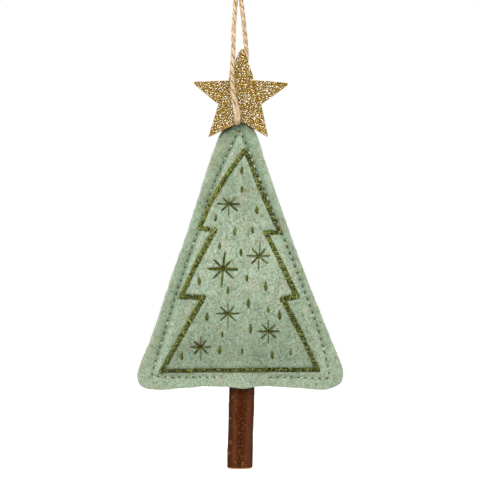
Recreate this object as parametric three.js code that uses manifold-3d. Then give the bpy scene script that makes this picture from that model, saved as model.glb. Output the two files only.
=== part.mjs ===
// A tree ornament that hangs from a twine eye: two felts sewn round a soft filling,
// a twig for its trunk, and a glitter star held between the two strands of its twine.
// Millimetres, +Z up. The front faces -Y. The origin is inside the top of the eye.
import * as THREE from "three";
import { mergeVertices } from "three/addons/utils/BufferGeometryUtils.js";
import Module from "manifold-3d";

const wasm = await Module();
wasm.setup();

// Felt tree
const treeWidth = 82.6;
const treeHeight = 107.1;
const feltThickness = 1.5;
const sewnThickness = 1.0;
const layerGap = 0.3;
const crownDepth = 3.2;
const grooveHalfWidth = 1.3;
const fillingGap = 0.4;
const edgeStep = 5.7;
const cornerReach = 9;
const seamSampleStep = 2;

// Threads
const seamThreadWidth = 0.6;
const seamHoleWidth = 0.25;
const stitchPitch = 2.8;
const threadGap = 0.4;
const embroideryWidth = 1.8;
const embroideryHeight = 0.5;
const embroideryStep = 5;
const embroideryGap = 0.5;
const burstRayWidth = 0.6;
const burstHeight = 0.35;
const seedWidth = 1.1;
const seedHeight = 0.7;

// Twig trunk and its glue
const trunkDiameter = 10;
const trunkShown = 31.6;
const trunkHidden = 18;
const trunkRim = 0.5;
const trunkClearance = 0.5;
const trunkFlare = 11;
const trunkFade = 14;
const trunkGlueDiameter = 8;
const trunkGlueHeight = 2.4;

// Star
const starWidth = 38;
const starHeight = 35.2;
const starOverlap = 6;
const starSheet = 0.8;
const glitterThickness = 0.3;
const glitterInset = 0.3;
const starGap = 0.05;
const starGlueWidth = 8;
const starGlueHeight = 7;
const starGlueDepth = 3.6;

// Twine
const twineDiameter = 1.8;
const eyeHeight = 24;
const knotDiameter = 6.8;
const strandDrop = 55.2;
const twineTail = 11.2;
const tailSpread = 2.6;
const tailFlare = 5.4;
const tailFade = 5;

// Clearance between pieces that touch, and how far a cutter runs past what it cuts
const touchGap = 0.3;
const overrun = 2;

// Levels and axes that follow from the sizes
const knotZ = -(eyeHeight + knotDiameter / 2);
const tipZ = knotZ - strandDrop;
const footZ = tipZ - treeHeight;
const trunkTopZ = footZ + trunkHidden;
const trunkEndZ = footZ - trunkShown;
const tailEndZ = tipZ - twineTail;
const tailDepth = twineDiameter / 2 + touchGap;
const sheetBackY = -(layerGap / 2 + tailDepth + sewnThickness + starGap);
const sheetFrontY = sheetBackY - starSheet;

// Picture pixels that the outlines are read in: u to the right, v down.
const treePixels = { left: 136.8, right: 343.3, tip: 122, foot: 389.8 };
const starPixels = { left: 193.4, right: 288.5, top: 49, bottom: 137 };

// The felt's edge: the tip, down the right side, along the foot and up the left side.
const edgePixels = [
  [238.4, 122], [248, 124.4], [254.1, 129.4], [265.7, 162.9], [288.9, 229.8],
  [303.5, 269.6], [326.9, 328.8], [338.2, 356.3], [342.9, 368.6], [343.3, 375.7],
  [340.2, 383.9], [332, 388.5], [323.9, 389.8], [291.2, 387.8], [263.7, 386.5],
  [241.9, 388.1], [211.8, 386.4], [181.2, 388.5], [150.6, 389.8], [140.4, 385.9],
  [136.8, 377.8], [139.4, 365.5], [152.7, 332.9], [169, 282.9], [184.3, 240],
  [198.6, 195.9], [213.75, 149.5], [222.7, 129.4], [229.2, 124.4],
];
// The seam, from where it starts right of the trunk, over the tip, to its end left of it.
const seamPixels = [
  [270.8, 377.6], [298.4, 377.6], [323.4, 378.8], [328.5, 378.3], [329, 372.7],
  [326.4, 359.4], [318.3, 329.8], [308.6, 302.2], [288.7, 250.7], [271, 206.6],
  [257.7, 174.5], [247.4, 147.7], [243.4, 138.3], [239.4, 131], [236.3, 135.7],
  [230.7, 147.2], [212.9, 186.5], [196.8, 234.3], [177.1, 291.5], [161.3, 343.1],
  [154, 367], [152.1, 374.6], [158.3, 376.9], [190, 377.4], [220.5, 377.6],
];
const middlePixel = [240.05, 290];
const trunkTopPixel = 241.9;
const trunkEndPixel = 239.6;
const twineEntryPixel = 239.4;
const starGluePixel = [244, 90];

// The embroidered tree: its apex, then down the right side and up the left.
const embroideryPixels = [
  [244.3, 151], [249.2, 154.8], [261.3, 187], [273.8, 216.4], [280, 232], [266, 232.7],
  [282, 264.5], [297, 296.5], [282, 299], [300.6, 334], [318, 369.6], [240, 369.8],
  [162, 371], [182.9, 334.2], [203.7, 297.5], [181.5, 296.5], [198.6, 260], [215, 230.5],
  [200.6, 228], [212, 201.3], [228, 174.5],
];
// Each starburst: its middle, then its eight ray ends clockwise from the top.
const burstPixels = [
  [[228.5, 204], [228.5, 197.3], [235.6, 197.9], [240.5, 204], [237.9, 211.1],
    [228.5, 217.4], [221.3, 210.6], [216.5, 204], [222.2, 197]],
  [[259, 255.6], [259, 240.6], [265.7, 248.7], [270.7, 255.6], [267.8, 263.7],
    [259, 270.2], [251.2, 263.7], [247.3, 255.6], [251.9, 248.7]],
  [[223.6, 268.5], [223.6, 252.9], [231.4, 260.2], [238.9, 268.5], [234.1, 278.8],
    [223.6, 287.9], [213.4, 278.6], [208.3, 268.5], [213.6, 259.6]],
  [[227.9, 313.3], [227.9, 302.3], [234.1, 306.3], [239.7, 313.3], [236.1, 320.6],
    [227.9, 327.9], [220.2, 320.6], [216.1, 313.3], [220.5, 306.8]],
  [[200.8, 346.7], [200.8, 335.9], [206.2, 340.3], [211.8, 346.7], [209, 354.1],
    [200.8, 359.9], [193.5, 354.3], [189.8, 346.7], [194, 341.3]],
  [[268.2, 331], [268.2, 319], [275.2, 324], [279.8, 331], [276.7, 338.3],
    [268.2, 344], [260.9, 338.7], [256.6, 331], [261.9, 324]],
];
// Each seed stitch: its middle and its length.
const seedPixels = [
  [241.8, 170.4, 7], [242, 189.2, 6], [256.8, 210.2, 8], [215.7, 218.2, 6],
  [234.8, 231.6, 8.5], [252.5, 230.3, 5.8], [219.5, 246, 6.5], [240.9, 252.4, 7],
  [246.9, 278.3, 6.6], [199.3, 281.3, 8], [228, 291.6, 6], [265.7, 286.1, 9.2],
  [248.4, 302.8, 9.2], [268.1, 309.4, 5.6], [207, 317, 8], [279.5, 315, 8.7],
  [250.4, 328.6, 9.2], [222.3, 334.4, 5], [219.7, 349.7, 7.7], [181.7, 355.8, 8],
  [242.2, 350.7, 5], [272.3, 354.8, 8.2], [290.5, 352.2, 5.6],
];
// The star: its top tip, then round it clockwise, with the notches between.
const starTipPixels = [
  [242.6, 49], [252.8, 79], [288.5, 84], [260.8, 104.5], [267.5, 137], [241.5, 121],
  [209, 136.6], [218.4, 104], [193.4, 82.6], [228.6, 79.3],
];

// Routes of the twine, inside the felts to the knot, and round the eye from knot to knot.
const frontStrandRoute = [
  [-1.44, 0, -93.8], [-1.38, 0, -90.8], [-1.28, 0, -88.4], [-1.22, -0.03, -87],
  [-1.15, -0.43, -85.62], [-1.1, -1.39, -84.82], [-1.05, -2.35, -84.6],
  [-1.02, -3.68, -84.17], [-1, -4.48, -83.21], [-1, -4.7, -82.2], [-1.08, -4.7, -80.2],
  [-1.68, -4.7, -76.9], [-2.56, -4.7, -72.8], [-2.84, -4.7, -69.7], [-3.08, -4.7, -66.6],
  [-3.2, -4.7, -63.6], [-3, -4.65, -59], [-2.72, -4.5, -55.2], [-2.64, -4.25, -50.6],
  [-2.48, -3.65, -43.8], [-2.08, -3.1, -38.4], [-1.76, -2.7, -33.8], [-1.52, -2.5, -31],
];
const rearStrandRoute = [
  [0.96, 0, -93.8], [0.98, 0, -89.8], [1, 0, -86.2], [1.04, -0.05, -83.4],
  [1.12, -0.85, -80.2], [1.3, -1.2, -75.4], [1.6, -1.2, -69.8], [2, -1.2, -64.2],
  [2.48, -1.2, -58.6], [2.52, -1.2, -54.6], [2.4, -1.2, -52.2], [2.04, -1.2, -49],
  [1.56, -1.15, -43.8], [1, -1.1, -38.4], [0.36, -1.05, -33.8], [0, -1, -31],
];
const eyeRoute = [
  [-1.9, -1.7, -23.6], [-2.4, -1.65, -21.2], [-3.6, -1.45, -17.4], [-4.7, -1.15, -13],
  [-5.2, -0.8, -8.6], [-4.75, -0.4, -4], [-3.1, -0.1, -0.75], [0, 0, 0.9],
  [3, -0.1, -0.75], [4.55, -0.4, -4], [4.8, -0.8, -8.6], [3.9, -1.15, -13],
  [2.4, -1.45, -17.4], [0.85, -1.65, -21.2], [0.3, -1.7, -23.6],
];
const knotX = -0.8;
const knotY = -1.7;
const frontStrandSteps = 38;
const rearStrandSteps = 16;
const eyeSteps = 20;
const twineSides = 8;

// Shares of the way from the middle to the seam where the felt and filling have a ring
const outerRingShares = [0.2, 0.38, 0.54, 0.68, 0.8, 0.9];
const innerRingShares = [0.84, 0.72, 0.6, 0.35];
const fillingRingShares = [0.35, 0.6, 0.72, 0.84];
const borderRingShare = 0.5;
const crownPowerShare = 2.6;
const mergePowerShare = 4;
// The twig's radius along its length, as shares of its nominal radius
const trunkSwellShares = [0.985, 1, 0.995, 1.015, 1, 1.01, 0.99];
const trunkSides = 18;
const burstNotchShare = 1.35;
const seedRingShares = [[-0.6, 0.75], [0, 1], [0.6, 0.75]];
const seedSides = 6;
const mitreLimitShare = 0.75;
const glueRingShares = [1, 0.92, 0.7, 0.38];
const glueSides = 12;
const ballSegments = 16;

const feltMaterial = new THREE.MeshStandardMaterial({ color: 0xa3b89b, roughness: 0.95 });
const backFeltMaterial = new THREE.MeshStandardMaterial({ color: 0x9db295, roughness: 0.95 });
const fillingMaterial = new THREE.MeshStandardMaterial({ color: 0xf1efe8, roughness: 1 });
const seamMaterial = new THREE.MeshStandardMaterial({ color: 0xb9c9a8, roughness: 0.6 });
const oliveMaterial = new THREE.MeshStandardMaterial({ color: 0x5a5f2d, roughness: 0.5 });
const sheetMaterial = new THREE.MeshStandardMaterial({ color: 0xc8a05a, roughness: 0.8 });
const glitterMaterial = new THREE.MeshStandardMaterial({
  color: 0xa8873f, roughness: 0.35, metalness: 0.8,
});
const glueMaterial = new THREE.MeshStandardMaterial({ color: 0xe9e4d2, roughness: 0.3 });
const twigMaterial = new THREE.MeshStandardMaterial({ color: 0x5a2d16, roughness: 0.7 });
const twineMaterial = new THREE.MeshStandardMaterial({ color: 0xd9b582, roughness: 0.9 });

const ease = (t) => THREE.MathUtils.smoothstep(t, 0, 1);

// Where a picture pixel of the tree lies in its plane
const treeX = (u) => {
  const { left, right } = treePixels;
  return ((u - (left + right) / 2) / (right - left)) * treeWidth;
};
const treeZ = (v) => {
  const { tip, foot } = treePixels;
  return footZ + ((foot - v) / (foot - tip)) * treeHeight;
};
const treePlace = ([u, v]) => new THREE.Vector3(treeX(u), 0, treeZ(v));

const trunkX = treeX(trunkTopPixel);
const trunkEndX = treeX(trunkEndPixel);
const twineEntryX = treeX(twineEntryPixel);
const middle = treePlace(middlePixel);

// Level ring of places round a heart
function circle(sides, radius, heart) {
  return Array.from({ length: sides }, (_, i) => {
    const turn = (2 * Math.PI * i) / sides;
    return new THREE.Vector3(radius * Math.cos(turn), radius * Math.sin(turn), 0).add(heart);
  });
}

// Closed solid from rings of as many points each: it starts and ends on a point.
function ringSolid(first, rings, last) {
  const sides = rings[0].length;
  const corners = [first, ...rings.flat(), last];
  const end = corners.length - 1;
  const faces = [];
  for (let side = 0; side < sides; side++) {
    const next = (side + 1) % sides;
    faces.push(0, 1 + next, 1 + side);
    for (let ring = 0; ring < rings.length - 1; ring++) {
      const near = 1 + ring * sides;
      const far = near + sides;
      faces.push(near + side, near + next, far + next);
      faces.push(near + side, far + next, far + side);
    }
    faces.push(end, end - sides + side, end - sides + next);
  }
  return facingOut(corners, faces);
}

// Closed band from rings of as many points each: the last ring joins the first.
function bandSolid(rings) {
  const sides = rings[0].length;
  const faces = [];
  rings.forEach((_, ring) => {
    const near = ring * sides;
    const far = ((ring + 1) % rings.length) * sides;
    for (let side = 0; side < sides; side++) {
      const next = (side + 1) % sides;
      faces.push(near + side, near + next, far + next);
      faces.push(near + side, far + next, far + side);
    }
  });
  return facingOut(rings.flat(), faces);
}

// A geometry whose faces point out, whichever way its rings ran
function facingOut(corners, faces) {
  let volume = 0;
  for (let i = 0; i < faces.length; i += 3) {
    const [a, b, c] = [corners[faces[i]], corners[faces[i + 1]], corners[faces[i + 2]]];
    volume += a.dot(b.clone().cross(c));
  }
  const geometry = new THREE.BufferGeometry().setFromPoints(corners);
  geometry.setIndex(volume < 0 ? [...faces].reverse() : faces);
  return geometry;
}

function toManifold(geometry) {
  const bare = geometry.clone();
  bare.deleteAttribute("normal");
  bare.deleteAttribute("uv");
  const merged = mergeVertices(bare);
  return new wasm.Manifold(new wasm.Mesh({
    numProp: 3,
    vertProperties: merged.attributes.position.array,
    triVerts: new Uint32Array(merged.index.array),
  }));
}

function fromManifold(solid) {
  const { vertProperties, triVerts } = solid.getMesh();
  const geometry = new THREE.BufferGeometry();
  geometry.setAttribute("position", new THREE.BufferAttribute(vertProperties, 3));
  geometry.setIndex(new THREE.BufferAttribute(triVerts, 1));
  return geometry;
}

const cut = (body, tool) => fromManifold(toManifold(body).subtract(toManifold(tool)));

const smoothCurve = (places, closed) =>
  new THREE.CatmullRomCurve3(places, closed, "centripetal");

const edgeCurve = smoothCurve(edgePixels.map(treePlace), true);
const seamLoop = smoothCurve(seamPixels.map(treePlace), true);
const seamOutline = seamLoop.getSpacedPoints(Math.round(seamLoop.getLength() / seamSampleStep));
const seamTopZ = Math.max(...seamOutline.map((place) => place.z));

// How far the seam lies from the middle of the tree in the direction of a place
function seamReach(place) {
  const dx = place.x - middle.x;
  const dz = place.z - middle.z;
  const length = Math.hypot(dx, dz);
  let reach = 0;
  for (let i = 0; i + 1 < seamOutline.length; i++) {
    const a = seamOutline[i];
    const b = seamOutline[i + 1];
    const ex = b.x - a.x;
    const ez = b.z - a.z;
    const across = dx * ez - dz * ex;
    if (across === 0) continue;
    const along = ((a.x - middle.x) * ez - (a.z - middle.z) * ex) / across;
    const share = ((a.x - middle.x) * dz - (a.z - middle.z) * dx) / across;
    if (along > 0 && share >= 0 && share <= 1) reach = Math.max(reach, along * length);
  }
  return reach;
}

const middleShare = (place) => place.distanceTo(middle) / seamReach(place);

// How far the trunk, and the tails of the twine, push the felts apart at a place
function trunkLift({ x, z }) {
  const across = 1 - ease(Math.abs(x - trunkX) / trunkFlare);
  const above = 1 - ease((z - trunkTopZ) / trunkFade);
  return (trunkDiameter / 2 + trunkClearance) * across * above;
}
function tailLift({ x, z }) {
  const beside = Math.abs(x - twineEntryX) - tailSpread / 2;
  const across = 1 - ease(beside / (tailFlare - tailSpread / 2));
  const below = 1 - ease((tailEndZ - z) / tailFade);
  return tailDepth * across * below;
}

// How far the inside of a felt stands from the middle plane. A share of 1 is the seam.
function insideDepth(place, share) {
  const crown = crownDepth * (1 - Math.min(share, 1) ** crownPowerShare);
  const lifts = [crown, trunkLift(place), tailLift(place)];
  const merged = lifts.reduce((sum, lift) => sum + lift ** mergePowerShare, 0);
  return layerGap / 2 + merged ** (1 / mergePowerShare);
}

// How far the outside of the felt stands from the middle plane, away from the seam
const outsideDepth = (place) => insideDepth(place, middleShare(place)) + feltThickness;

// The seam is open where the trunk leaves. The felt keeps its full thickness there, from
// one step past each end of the seam.
const seamStart = treePlace(seamPixels[0]);
const seamEnd = treePlace(seamPixels.at(-1));
const inTrunkGap = ({ x, z }) =>
  x > seamEnd.x + edgeStep && x < seamStart.x - edgeStep && z < (trunkTopZ + footZ) / 2;

// The felt is followed closely where trunk or tails lift it, and round its foot corners.
function isClose({ x, z }) {
  const lifted = Math.abs(x - trunkX) < trunkFlare;
  const corner = Math.abs(x - middle.x) > treeWidth / 2 - cornerReach;
  return (lifted && z > tipZ - tailFlare) || (z < trunkTopZ && (lifted || corner));
}

// The edge places that the rings point to, with one more between two where it is close
const edgeCount = Math.round(edgeCurve.getLength() / edgeStep);
const edgePlaces = [];
for (let i = 0; i < edgeCount; i++) {
  edgePlaces.push(edgeCurve.getPointAt(i / edgeCount));
  const halfway = edgeCurve.getPointAt((i + 0.5) / edgeCount);
  if (isClose(halfway)) edgePlaces.push(halfway);
}

// The places of one ring of a felt: inside the seam, on it, or on the border outside it
function ringAtShare(share) {
  return edgePlaces.map((edge) => {
    const seam = seamPlace(edge);
    return middle.clone().lerp(seam, share);
  });
}
function seamPlace(edge) {
  return middle.clone().lerp(edge, seamReach(edge) / edge.distanceTo(middle));
}
function ringBesideSeam(towardsEdge) {
  return edgePlaces.map((edge) => {
    const seam = seamPlace(edge);
    const border = seam.distanceTo(edge);
    const lip = Math.min(grooveHalfWidth, border * borderRingShare);
    return seam.clone().lerp(edge, (towardsEdge ? lip : -lip) / border);
  });
}
function ringOnBorder(borderShare) {
  return edgePlaces.map((edge) => seamPlace(edge).lerp(edge, borderShare));
}

// Places moved out of the middle plane by a depth, to the front (-1) or the back (1)
const standOut = (places, side, depthAt) =>
  places.map((place) => new THREE.Vector3(place.x, side * depthAt(place), place.z));

function feltGeometry(side) {
  const outer = (place) => insideDepth(place, middleShare(place)) + feltThickness;
  const inner = (place) => insideDepth(place, middleShare(place));
  const border = (place) =>
    insideDepth(place, 1) + (place.z > seamTopZ ? sewnThickness : feltThickness);
  const groove = (place) =>
    insideDepth(place, 1) + (inTrunkGap(place) ? feltThickness : sewnThickness);
  const rings = [
    ...outerRingShares.map((share) => standOut(ringAtShare(share), side, outer)),
    standOut(ringBesideSeam(false), side, outer),
    standOut(ringAtShare(1), side, groove),
    standOut(ringBesideSeam(true), side, border),
    standOut(ringOnBorder(1), side, border),
    standOut(ringOnBorder(1), side, (place) => insideDepth(place, 1)),
    standOut(ringAtShare(1), side, (place) => insideDepth(place, 1)),
    ...innerRingShares.map((share) => standOut(ringAtShare(share), side, inner)),
  ];
  const pole = insideDepth(middle, 0);
  const outerPole = new THREE.Vector3(middle.x, side * (pole + feltThickness), middle.z);
  const innerPole = new THREE.Vector3(middle.x, side * pole, middle.z);
  return ringSolid(outerPole, rings, innerPole);
}

function fillingGeometry() {
  const depth = (place) => insideDepth(place, middleShare(place)) - fillingGap;
  const half = (side) =>
    fillingRingShares.map((share) => standOut(ringAtShare(share), side, depth));
  const pole = insideDepth(middle, 0) - fillingGap;
  const body = ringSolid(
    new THREE.Vector3(middle.x, -pole, middle.z),
    [...half(-1), ...half(1).reverse()],
    new THREE.Vector3(middle.x, pole, middle.z),
  );
  const width = trunkDiameter + 2 * (trunkClearance + touchGap);
  const top = trunkTopZ + trunkGlueHeight + 2 * touchGap;
  const slot = new THREE.BoxGeometry(width, trunkDiameter + 2 * overrun, top - footZ);
  slot.translate(trunkX, 0, (top + footZ) / 2);
  return cut(body, slot);
}

// The seam's thread: thick in the middle of each stitch, thin where it dips into a hole
function seamThreadGeometry(side) {
  const path = smoothCurve(seamPixels.map(treePlace), false);
  const stitches = Math.round(path.getLength() / stitchPitch);
  const places = path.getSpacedPoints(2 * stitches);
  const out = new THREE.Vector3(0, side, 0);
  const rings = places.map((place, i) => {
    const radius = (i % 2 ? seamThreadWidth : seamHoleWidth) / 2;
    const along = places[Math.min(i + 1, places.length - 1)]
      .clone()
      .sub(places[Math.max(i - 1, 0)])
      .normalize();
    const across = along.cross(out);
    const felt = insideDepth(place, 1) + sewnThickness;
    const heart = place.clone().addScaledVector(out, felt + threadGap + seamThreadWidth / 2);
    return [
      heart.clone().addScaledVector(across, radius),
      heart.clone().addScaledVector(out, radius),
      heart.clone().addScaledVector(across, -radius),
      heart.clone().addScaledVector(out, -radius),
    ];
  });
  const capPoint = (ring) => ring[0].clone().add(ring[2]).multiplyScalar(0.5);
  return ringSolid(capPoint(rings[0]), rings, capPoint(rings.at(-1)));
}

// The embroidered tree: a closed band with mitred corners that follows the felt
function embroideryGeometry() {
  const corners = embroideryPixels.map(treePlace);
  const places = [];
  corners.forEach((corner, i) => {
    const next = corners[(i + 1) % corners.length];
    const pieces = Math.ceil(corner.distanceTo(next) / embroideryStep);
    for (let k = 0; k < pieces; k++) places.push(corner.clone().lerp(next, k / pieces));
  });
  const rings = places.map((place, i) => {
    const before = places[(i + places.length - 1) % places.length];
    const after = places[(i + 1) % places.length];
    const arriving = place.clone().sub(before).normalize();
    const leaving = after.clone().sub(place).normalize();
    const along = arriving.clone().add(leaving).normalize();
    const across = new THREE.Vector3(along.z, 0, -along.x);
    const stretch = 1 / Math.max(along.dot(leaving), mitreLimitShare);
    const [left, right] = [-1, 1].map((way) =>
      place.clone().addScaledVector(across, (way * stretch * embroideryWidth) / 2));
    const under = (edge) => outsideDepth(edge) + embroideryGap;
    return [
      new THREE.Vector3(left.x, -under(left), left.z),
      new THREE.Vector3(right.x, -under(right), right.z),
      new THREE.Vector3(right.x, -under(right) - embroideryHeight, right.z),
      new THREE.Vector3(left.x, -under(left) - embroideryHeight, left.z),
    ];
  });
  return bandSolid(rings);
}

// One starburst: rays of even width with a notch between each two
function burstGeometry(pixels) {
  const [heart, ...tips] = pixels.map(treePlace);
  const outline = [];
  tips.forEach((tip, i) => {
    const along = tip.clone().sub(heart).normalize();
    const onward = tips[(i + 1) % tips.length].clone().sub(heart).normalize();
    const across = new THREE.Vector3(along.z, 0, -along.x).multiplyScalar(burstRayWidth / 2);
    const between = along.clone().add(onward).normalize();
    outline.push(
      tip.clone().sub(across),
      tip.clone().add(across),
      heart.clone().addScaledVector(between, burstRayWidth * burstNotchShare),
    );
  });
  const under = (place) => outsideDepth(place) + touchGap;
  const over = (place) => under(place) + burstHeight;
  return ringSolid(
    standOut([heart], -1, over)[0],
    [standOut(outline, -1, over), standOut(outline, -1, under)],
    standOut([heart], -1, under)[0],
  );
}

// One seed stitch: a short spindle that lies on the felt
function seedGeometry([u, v, length]) {
  const heart = treePlace([u, v]);
  const top = treePlace([u, v - length / 2]);
  const bottom = treePlace([u, v + length / 2]);
  const rest = (place) => outsideDepth(place) + touchGap + seedHeight / 2;
  const seedRing = ([alongShare, widthShare]) => {
    const place = heart.clone().lerp(alongShare < 0 ? bottom : top, Math.abs(alongShare));
    return Array.from({ length: seedSides }, (_, i) => {
      const turn = (2 * Math.PI * i) / seedSides;
      return new THREE.Vector3(
        place.x + ((widthShare * seedWidth) / 2) * Math.cos(turn),
        -rest(place) + ((widthShare * seedHeight) / 2) * Math.sin(turn),
        place.z,
      );
    });
  };
  const [low, high] = [bottom, top].map((place) => standOut([place], -1, rest)[0]);
  return ringSolid(low, seedRingShares.map(seedRing), high);
}

// The twig: rings that drift from under the felt to the cut end, with a worn rim
function trunkGeometry() {
  const radius = trunkDiameter / 2;
  const ringAt = (z, ringRadius) => {
    const drift = THREE.MathUtils.mapLinear(z, trunkEndZ, footZ, trunkEndX, trunkX);
    const x = Math.min(drift, trunkX);
    return circle(trunkSides, ringRadius, new THREE.Vector3(x, 0, z));
  };
  const swells = trunkSwellShares.map((share, i) => {
    const way = i / (trunkSwellShares.length - 1);
    const z = THREE.MathUtils.lerp(trunkEndZ + trunkRim, trunkTopZ - trunkRim, way);
    return ringAt(z, radius * share);
  });
  return ringSolid(
    new THREE.Vector3(trunkEndX, 0, trunkEndZ),
    [ringAt(trunkEndZ, radius - trunkRim), ...swells, ringAt(trunkTopZ, radius - trunkRim)],
    new THREE.Vector3(trunkX, 0, trunkTopZ),
  );
}

// A dab of glue: a low dome whose flat base lies on Z = 0
function glueDome(width, length, height) {
  const rings = glueRingShares.map((share) => {
    const level = new THREE.Vector3(0, 0, Math.sqrt(1 - share ** 2));
    return circle(glueSides, share, level);
  });
  const dome = ringSolid(new THREE.Vector3(), rings, new THREE.Vector3(0, 0, 1));
  return dome.scale(width / 2, length / 2, height);
}

const starX = ([u]) => {
  const { left, right } = starPixels;
  return treeX((left + right) / 2) + ((u - (left + right) / 2) / (right - left)) * starWidth;
};
const starZ = ([, v]) => {
  const { top, bottom } = starPixels;
  return tipZ - starOverlap + ((bottom - v) / (bottom - top)) * starHeight;
};

// A flat star of a thickness, drawn in by an inset, with its back at Y = 0
function starGeometry(thickness, inset) {
  const corners = starTipPixels.map((pixel) => new THREE.Vector2(starX(pixel), starZ(pixel)));
  const heart = new THREE.Box2().setFromPoints(corners).getCenter(new THREE.Vector2());
  const edgeDistance = Math.min(...corners.map((corner, i) => {
    const next = corners[(i + 1) % corners.length];
    const along = next.clone().sub(corner).normalize();
    return Math.abs(corner.clone().sub(heart).cross(along));
  }));
  const drawnIn = 1 - inset / edgeDistance;
  const shape = new THREE.Shape(
    corners.map((corner) => heart.clone().lerp(corner, drawnIn)));
  const geometry = new THREE.ExtrudeGeometry(shape, { depth: thickness, bevelEnabled: false });
  return geometry.rotateX(Math.PI / 2);
}

// A twine tube of a diameter along a route
function twineGeometry(route, steps, diameter) {
  const path = smoothCurve(route.map((point) => new THREE.Vector3(...point)), false);
  const section = new THREE.Shape(
    Array.from({ length: twineSides }, (_, i) => {
      const turn = (2 * Math.PI * i) / twineSides;
      return new THREE.Vector2(Math.cos(turn), Math.sin(turn)).multiplyScalar(diameter / 2);
    }));
  return new THREE.ExtrudeGeometry(section, { steps, bevelEnabled: false, extrudePath: path });
}

// The glue behind the star: a dome on its back, with a channel for the rear strand
function starGlueGeometry() {
  const dome = glueDome(starGlueWidth, starGlueHeight, starGlueDepth);
  dome.rotateX(-Math.PI / 2);
  dome.translate(starX(starGluePixel), sheetBackY, starZ(starGluePixel));
  const channel = twineGeometry(rearStrandRoute, rearStrandSteps, twineDiameter + 4 * touchGap);
  return cut(dome, channel);
}

const group = new THREE.Group();

function addPiece(name, geometry, material) {
  const mesh = new THREE.Mesh(geometry, material);
  mesh.name = name;
  group.add(mesh);
  return mesh;
}

const entry = twineGeometry(
  frontStrandRoute, frontStrandSteps, twineDiameter + 2 * touchGap);
addPiece("front_felt", cut(feltGeometry(-1), entry), feltMaterial);
addPiece("back_felt", feltGeometry(1), backFeltMaterial);
addPiece("fibre_filling", fillingGeometry(), fillingMaterial);
addPiece("seam_thread_front", seamThreadGeometry(-1), seamMaterial);
addPiece("seam_thread_back", seamThreadGeometry(1), seamMaterial);
addPiece("tree_outline_embroidery", embroideryGeometry(), oliveMaterial);
burstPixels.forEach((pixels, i) => {
  addPiece(`starburst_${i + 1}`, burstGeometry(pixels), oliveMaterial);
});
seedPixels.forEach((pixels, i) => {
  const number = String(i + 1).padStart(2, "0");
  addPiece(`seed_stitch_${number}`, seedGeometry(pixels), oliveMaterial);
});

addPiece("trunk_stick", trunkGeometry(), twigMaterial);
const trunkDab = glueDome(trunkGlueDiameter, trunkGlueDiameter, trunkGlueHeight);
const trunkGlue = addPiece("trunk_glue", trunkDab, glueMaterial);
trunkGlue.position.set(trunkX, 0, trunkTopZ);

const starBase = addPiece("star_base", starGeometry(starSheet, 0), sheetMaterial);
starBase.position.y = sheetBackY;
const coat = starGeometry(glitterThickness, glitterInset);
addPiece("star_glitter_coat", coat, glitterMaterial).position.y = sheetFrontY;
addPiece("star_glue_dab", starGlueGeometry(), glueMaterial);

const frontStrand = twineGeometry(frontStrandRoute, frontStrandSteps, twineDiameter);
const rearStrand = twineGeometry(rearStrandRoute, rearStrandSteps, twineDiameter);
const eye = twineGeometry(eyeRoute, eyeSteps, twineDiameter);
const ball = new THREE.SphereGeometry(knotDiameter / 2, ballSegments, ballSegments / 2);
addPiece("twine_front_strand", frontStrand, twineMaterial);
addPiece("twine_rear_strand", rearStrand, twineMaterial);
addPiece("twine_hanging_eye", eye, twineMaterial);
addPiece("twine_knot", ball, twineMaterial).position.set(knotX, knotY, knotZ);

export default group;
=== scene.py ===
"""A hanging felt tree ornament, dressed on its CAD frame.

The front faces -Y. Sizes in this script are millimetres, and each mesh is made in metres.
"""

import math

import bmesh
import bpy
import numpy as np
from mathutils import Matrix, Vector
from mathutils.bvhtree import BVHTree


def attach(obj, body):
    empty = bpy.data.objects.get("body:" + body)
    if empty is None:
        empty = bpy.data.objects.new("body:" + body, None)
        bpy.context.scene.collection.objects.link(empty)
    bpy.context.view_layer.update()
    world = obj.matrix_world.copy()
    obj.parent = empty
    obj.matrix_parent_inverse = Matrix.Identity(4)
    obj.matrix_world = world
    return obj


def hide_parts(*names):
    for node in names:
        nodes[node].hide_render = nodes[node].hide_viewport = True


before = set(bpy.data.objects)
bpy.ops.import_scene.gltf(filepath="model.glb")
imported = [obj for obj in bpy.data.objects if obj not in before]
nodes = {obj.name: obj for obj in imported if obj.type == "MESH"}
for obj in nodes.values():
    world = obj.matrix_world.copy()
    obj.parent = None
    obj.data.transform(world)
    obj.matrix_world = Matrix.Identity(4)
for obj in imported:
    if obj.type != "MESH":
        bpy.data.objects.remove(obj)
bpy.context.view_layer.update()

MM = 0.001
UP, FRONT, RIGHT = np.array([0, 0, 1.0]), np.array([0, -1.0, 0]), np.array([1.0, 0, 0])

# Sizes

FOOT_Z = -189.7
TRUNK_TOP_Z, TRUNK_END_Z = -171.7, -221.3
FELT, SEWN, LAYER_GAP, CROWN = 1.5, 1.0, 0.3, 3.2
TRUNK_RADIUS, TRUNK_CLEARANCE, TRUNK_FLARE, TRUNK_FADE = 5.0, 0.5, 13.0, 22.0
TAIL_END_Z, TAIL_DEPTH, TAIL_SPREAD, TAIL_FLARE, TAIL_FADE = -93.8, 1.2, 2.6, 5.4, 5.0
TWINE, TWINE_LAY = 1.8, 7.0
STITCH = 2.8
GROOVE = 1.3
SHEET_BACK, SHEET_FRONT = -2.4, -3.2
KNOT = np.array([-0.8, -1.7, -27.4])

PICTURE, PIXEL = 480, 0.4
PIXEL_MIDDLE, PIXEL_LEVEL = 240.05, -33.8


def seen(u, v):
    """The place in the tree's plane, across and up, that a picture point shows."""
    return np.stack([(np.asarray(u, float) - PIXEL_MIDDLE) * PIXEL,
                     PIXEL_LEVEL - np.asarray(v, float) * PIXEL], axis=-1)


def seen_all(pixels):
    pixels = np.array(pixels, float)
    return seen(pixels[:, 0], pixels[:, 1])


# Camera

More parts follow.
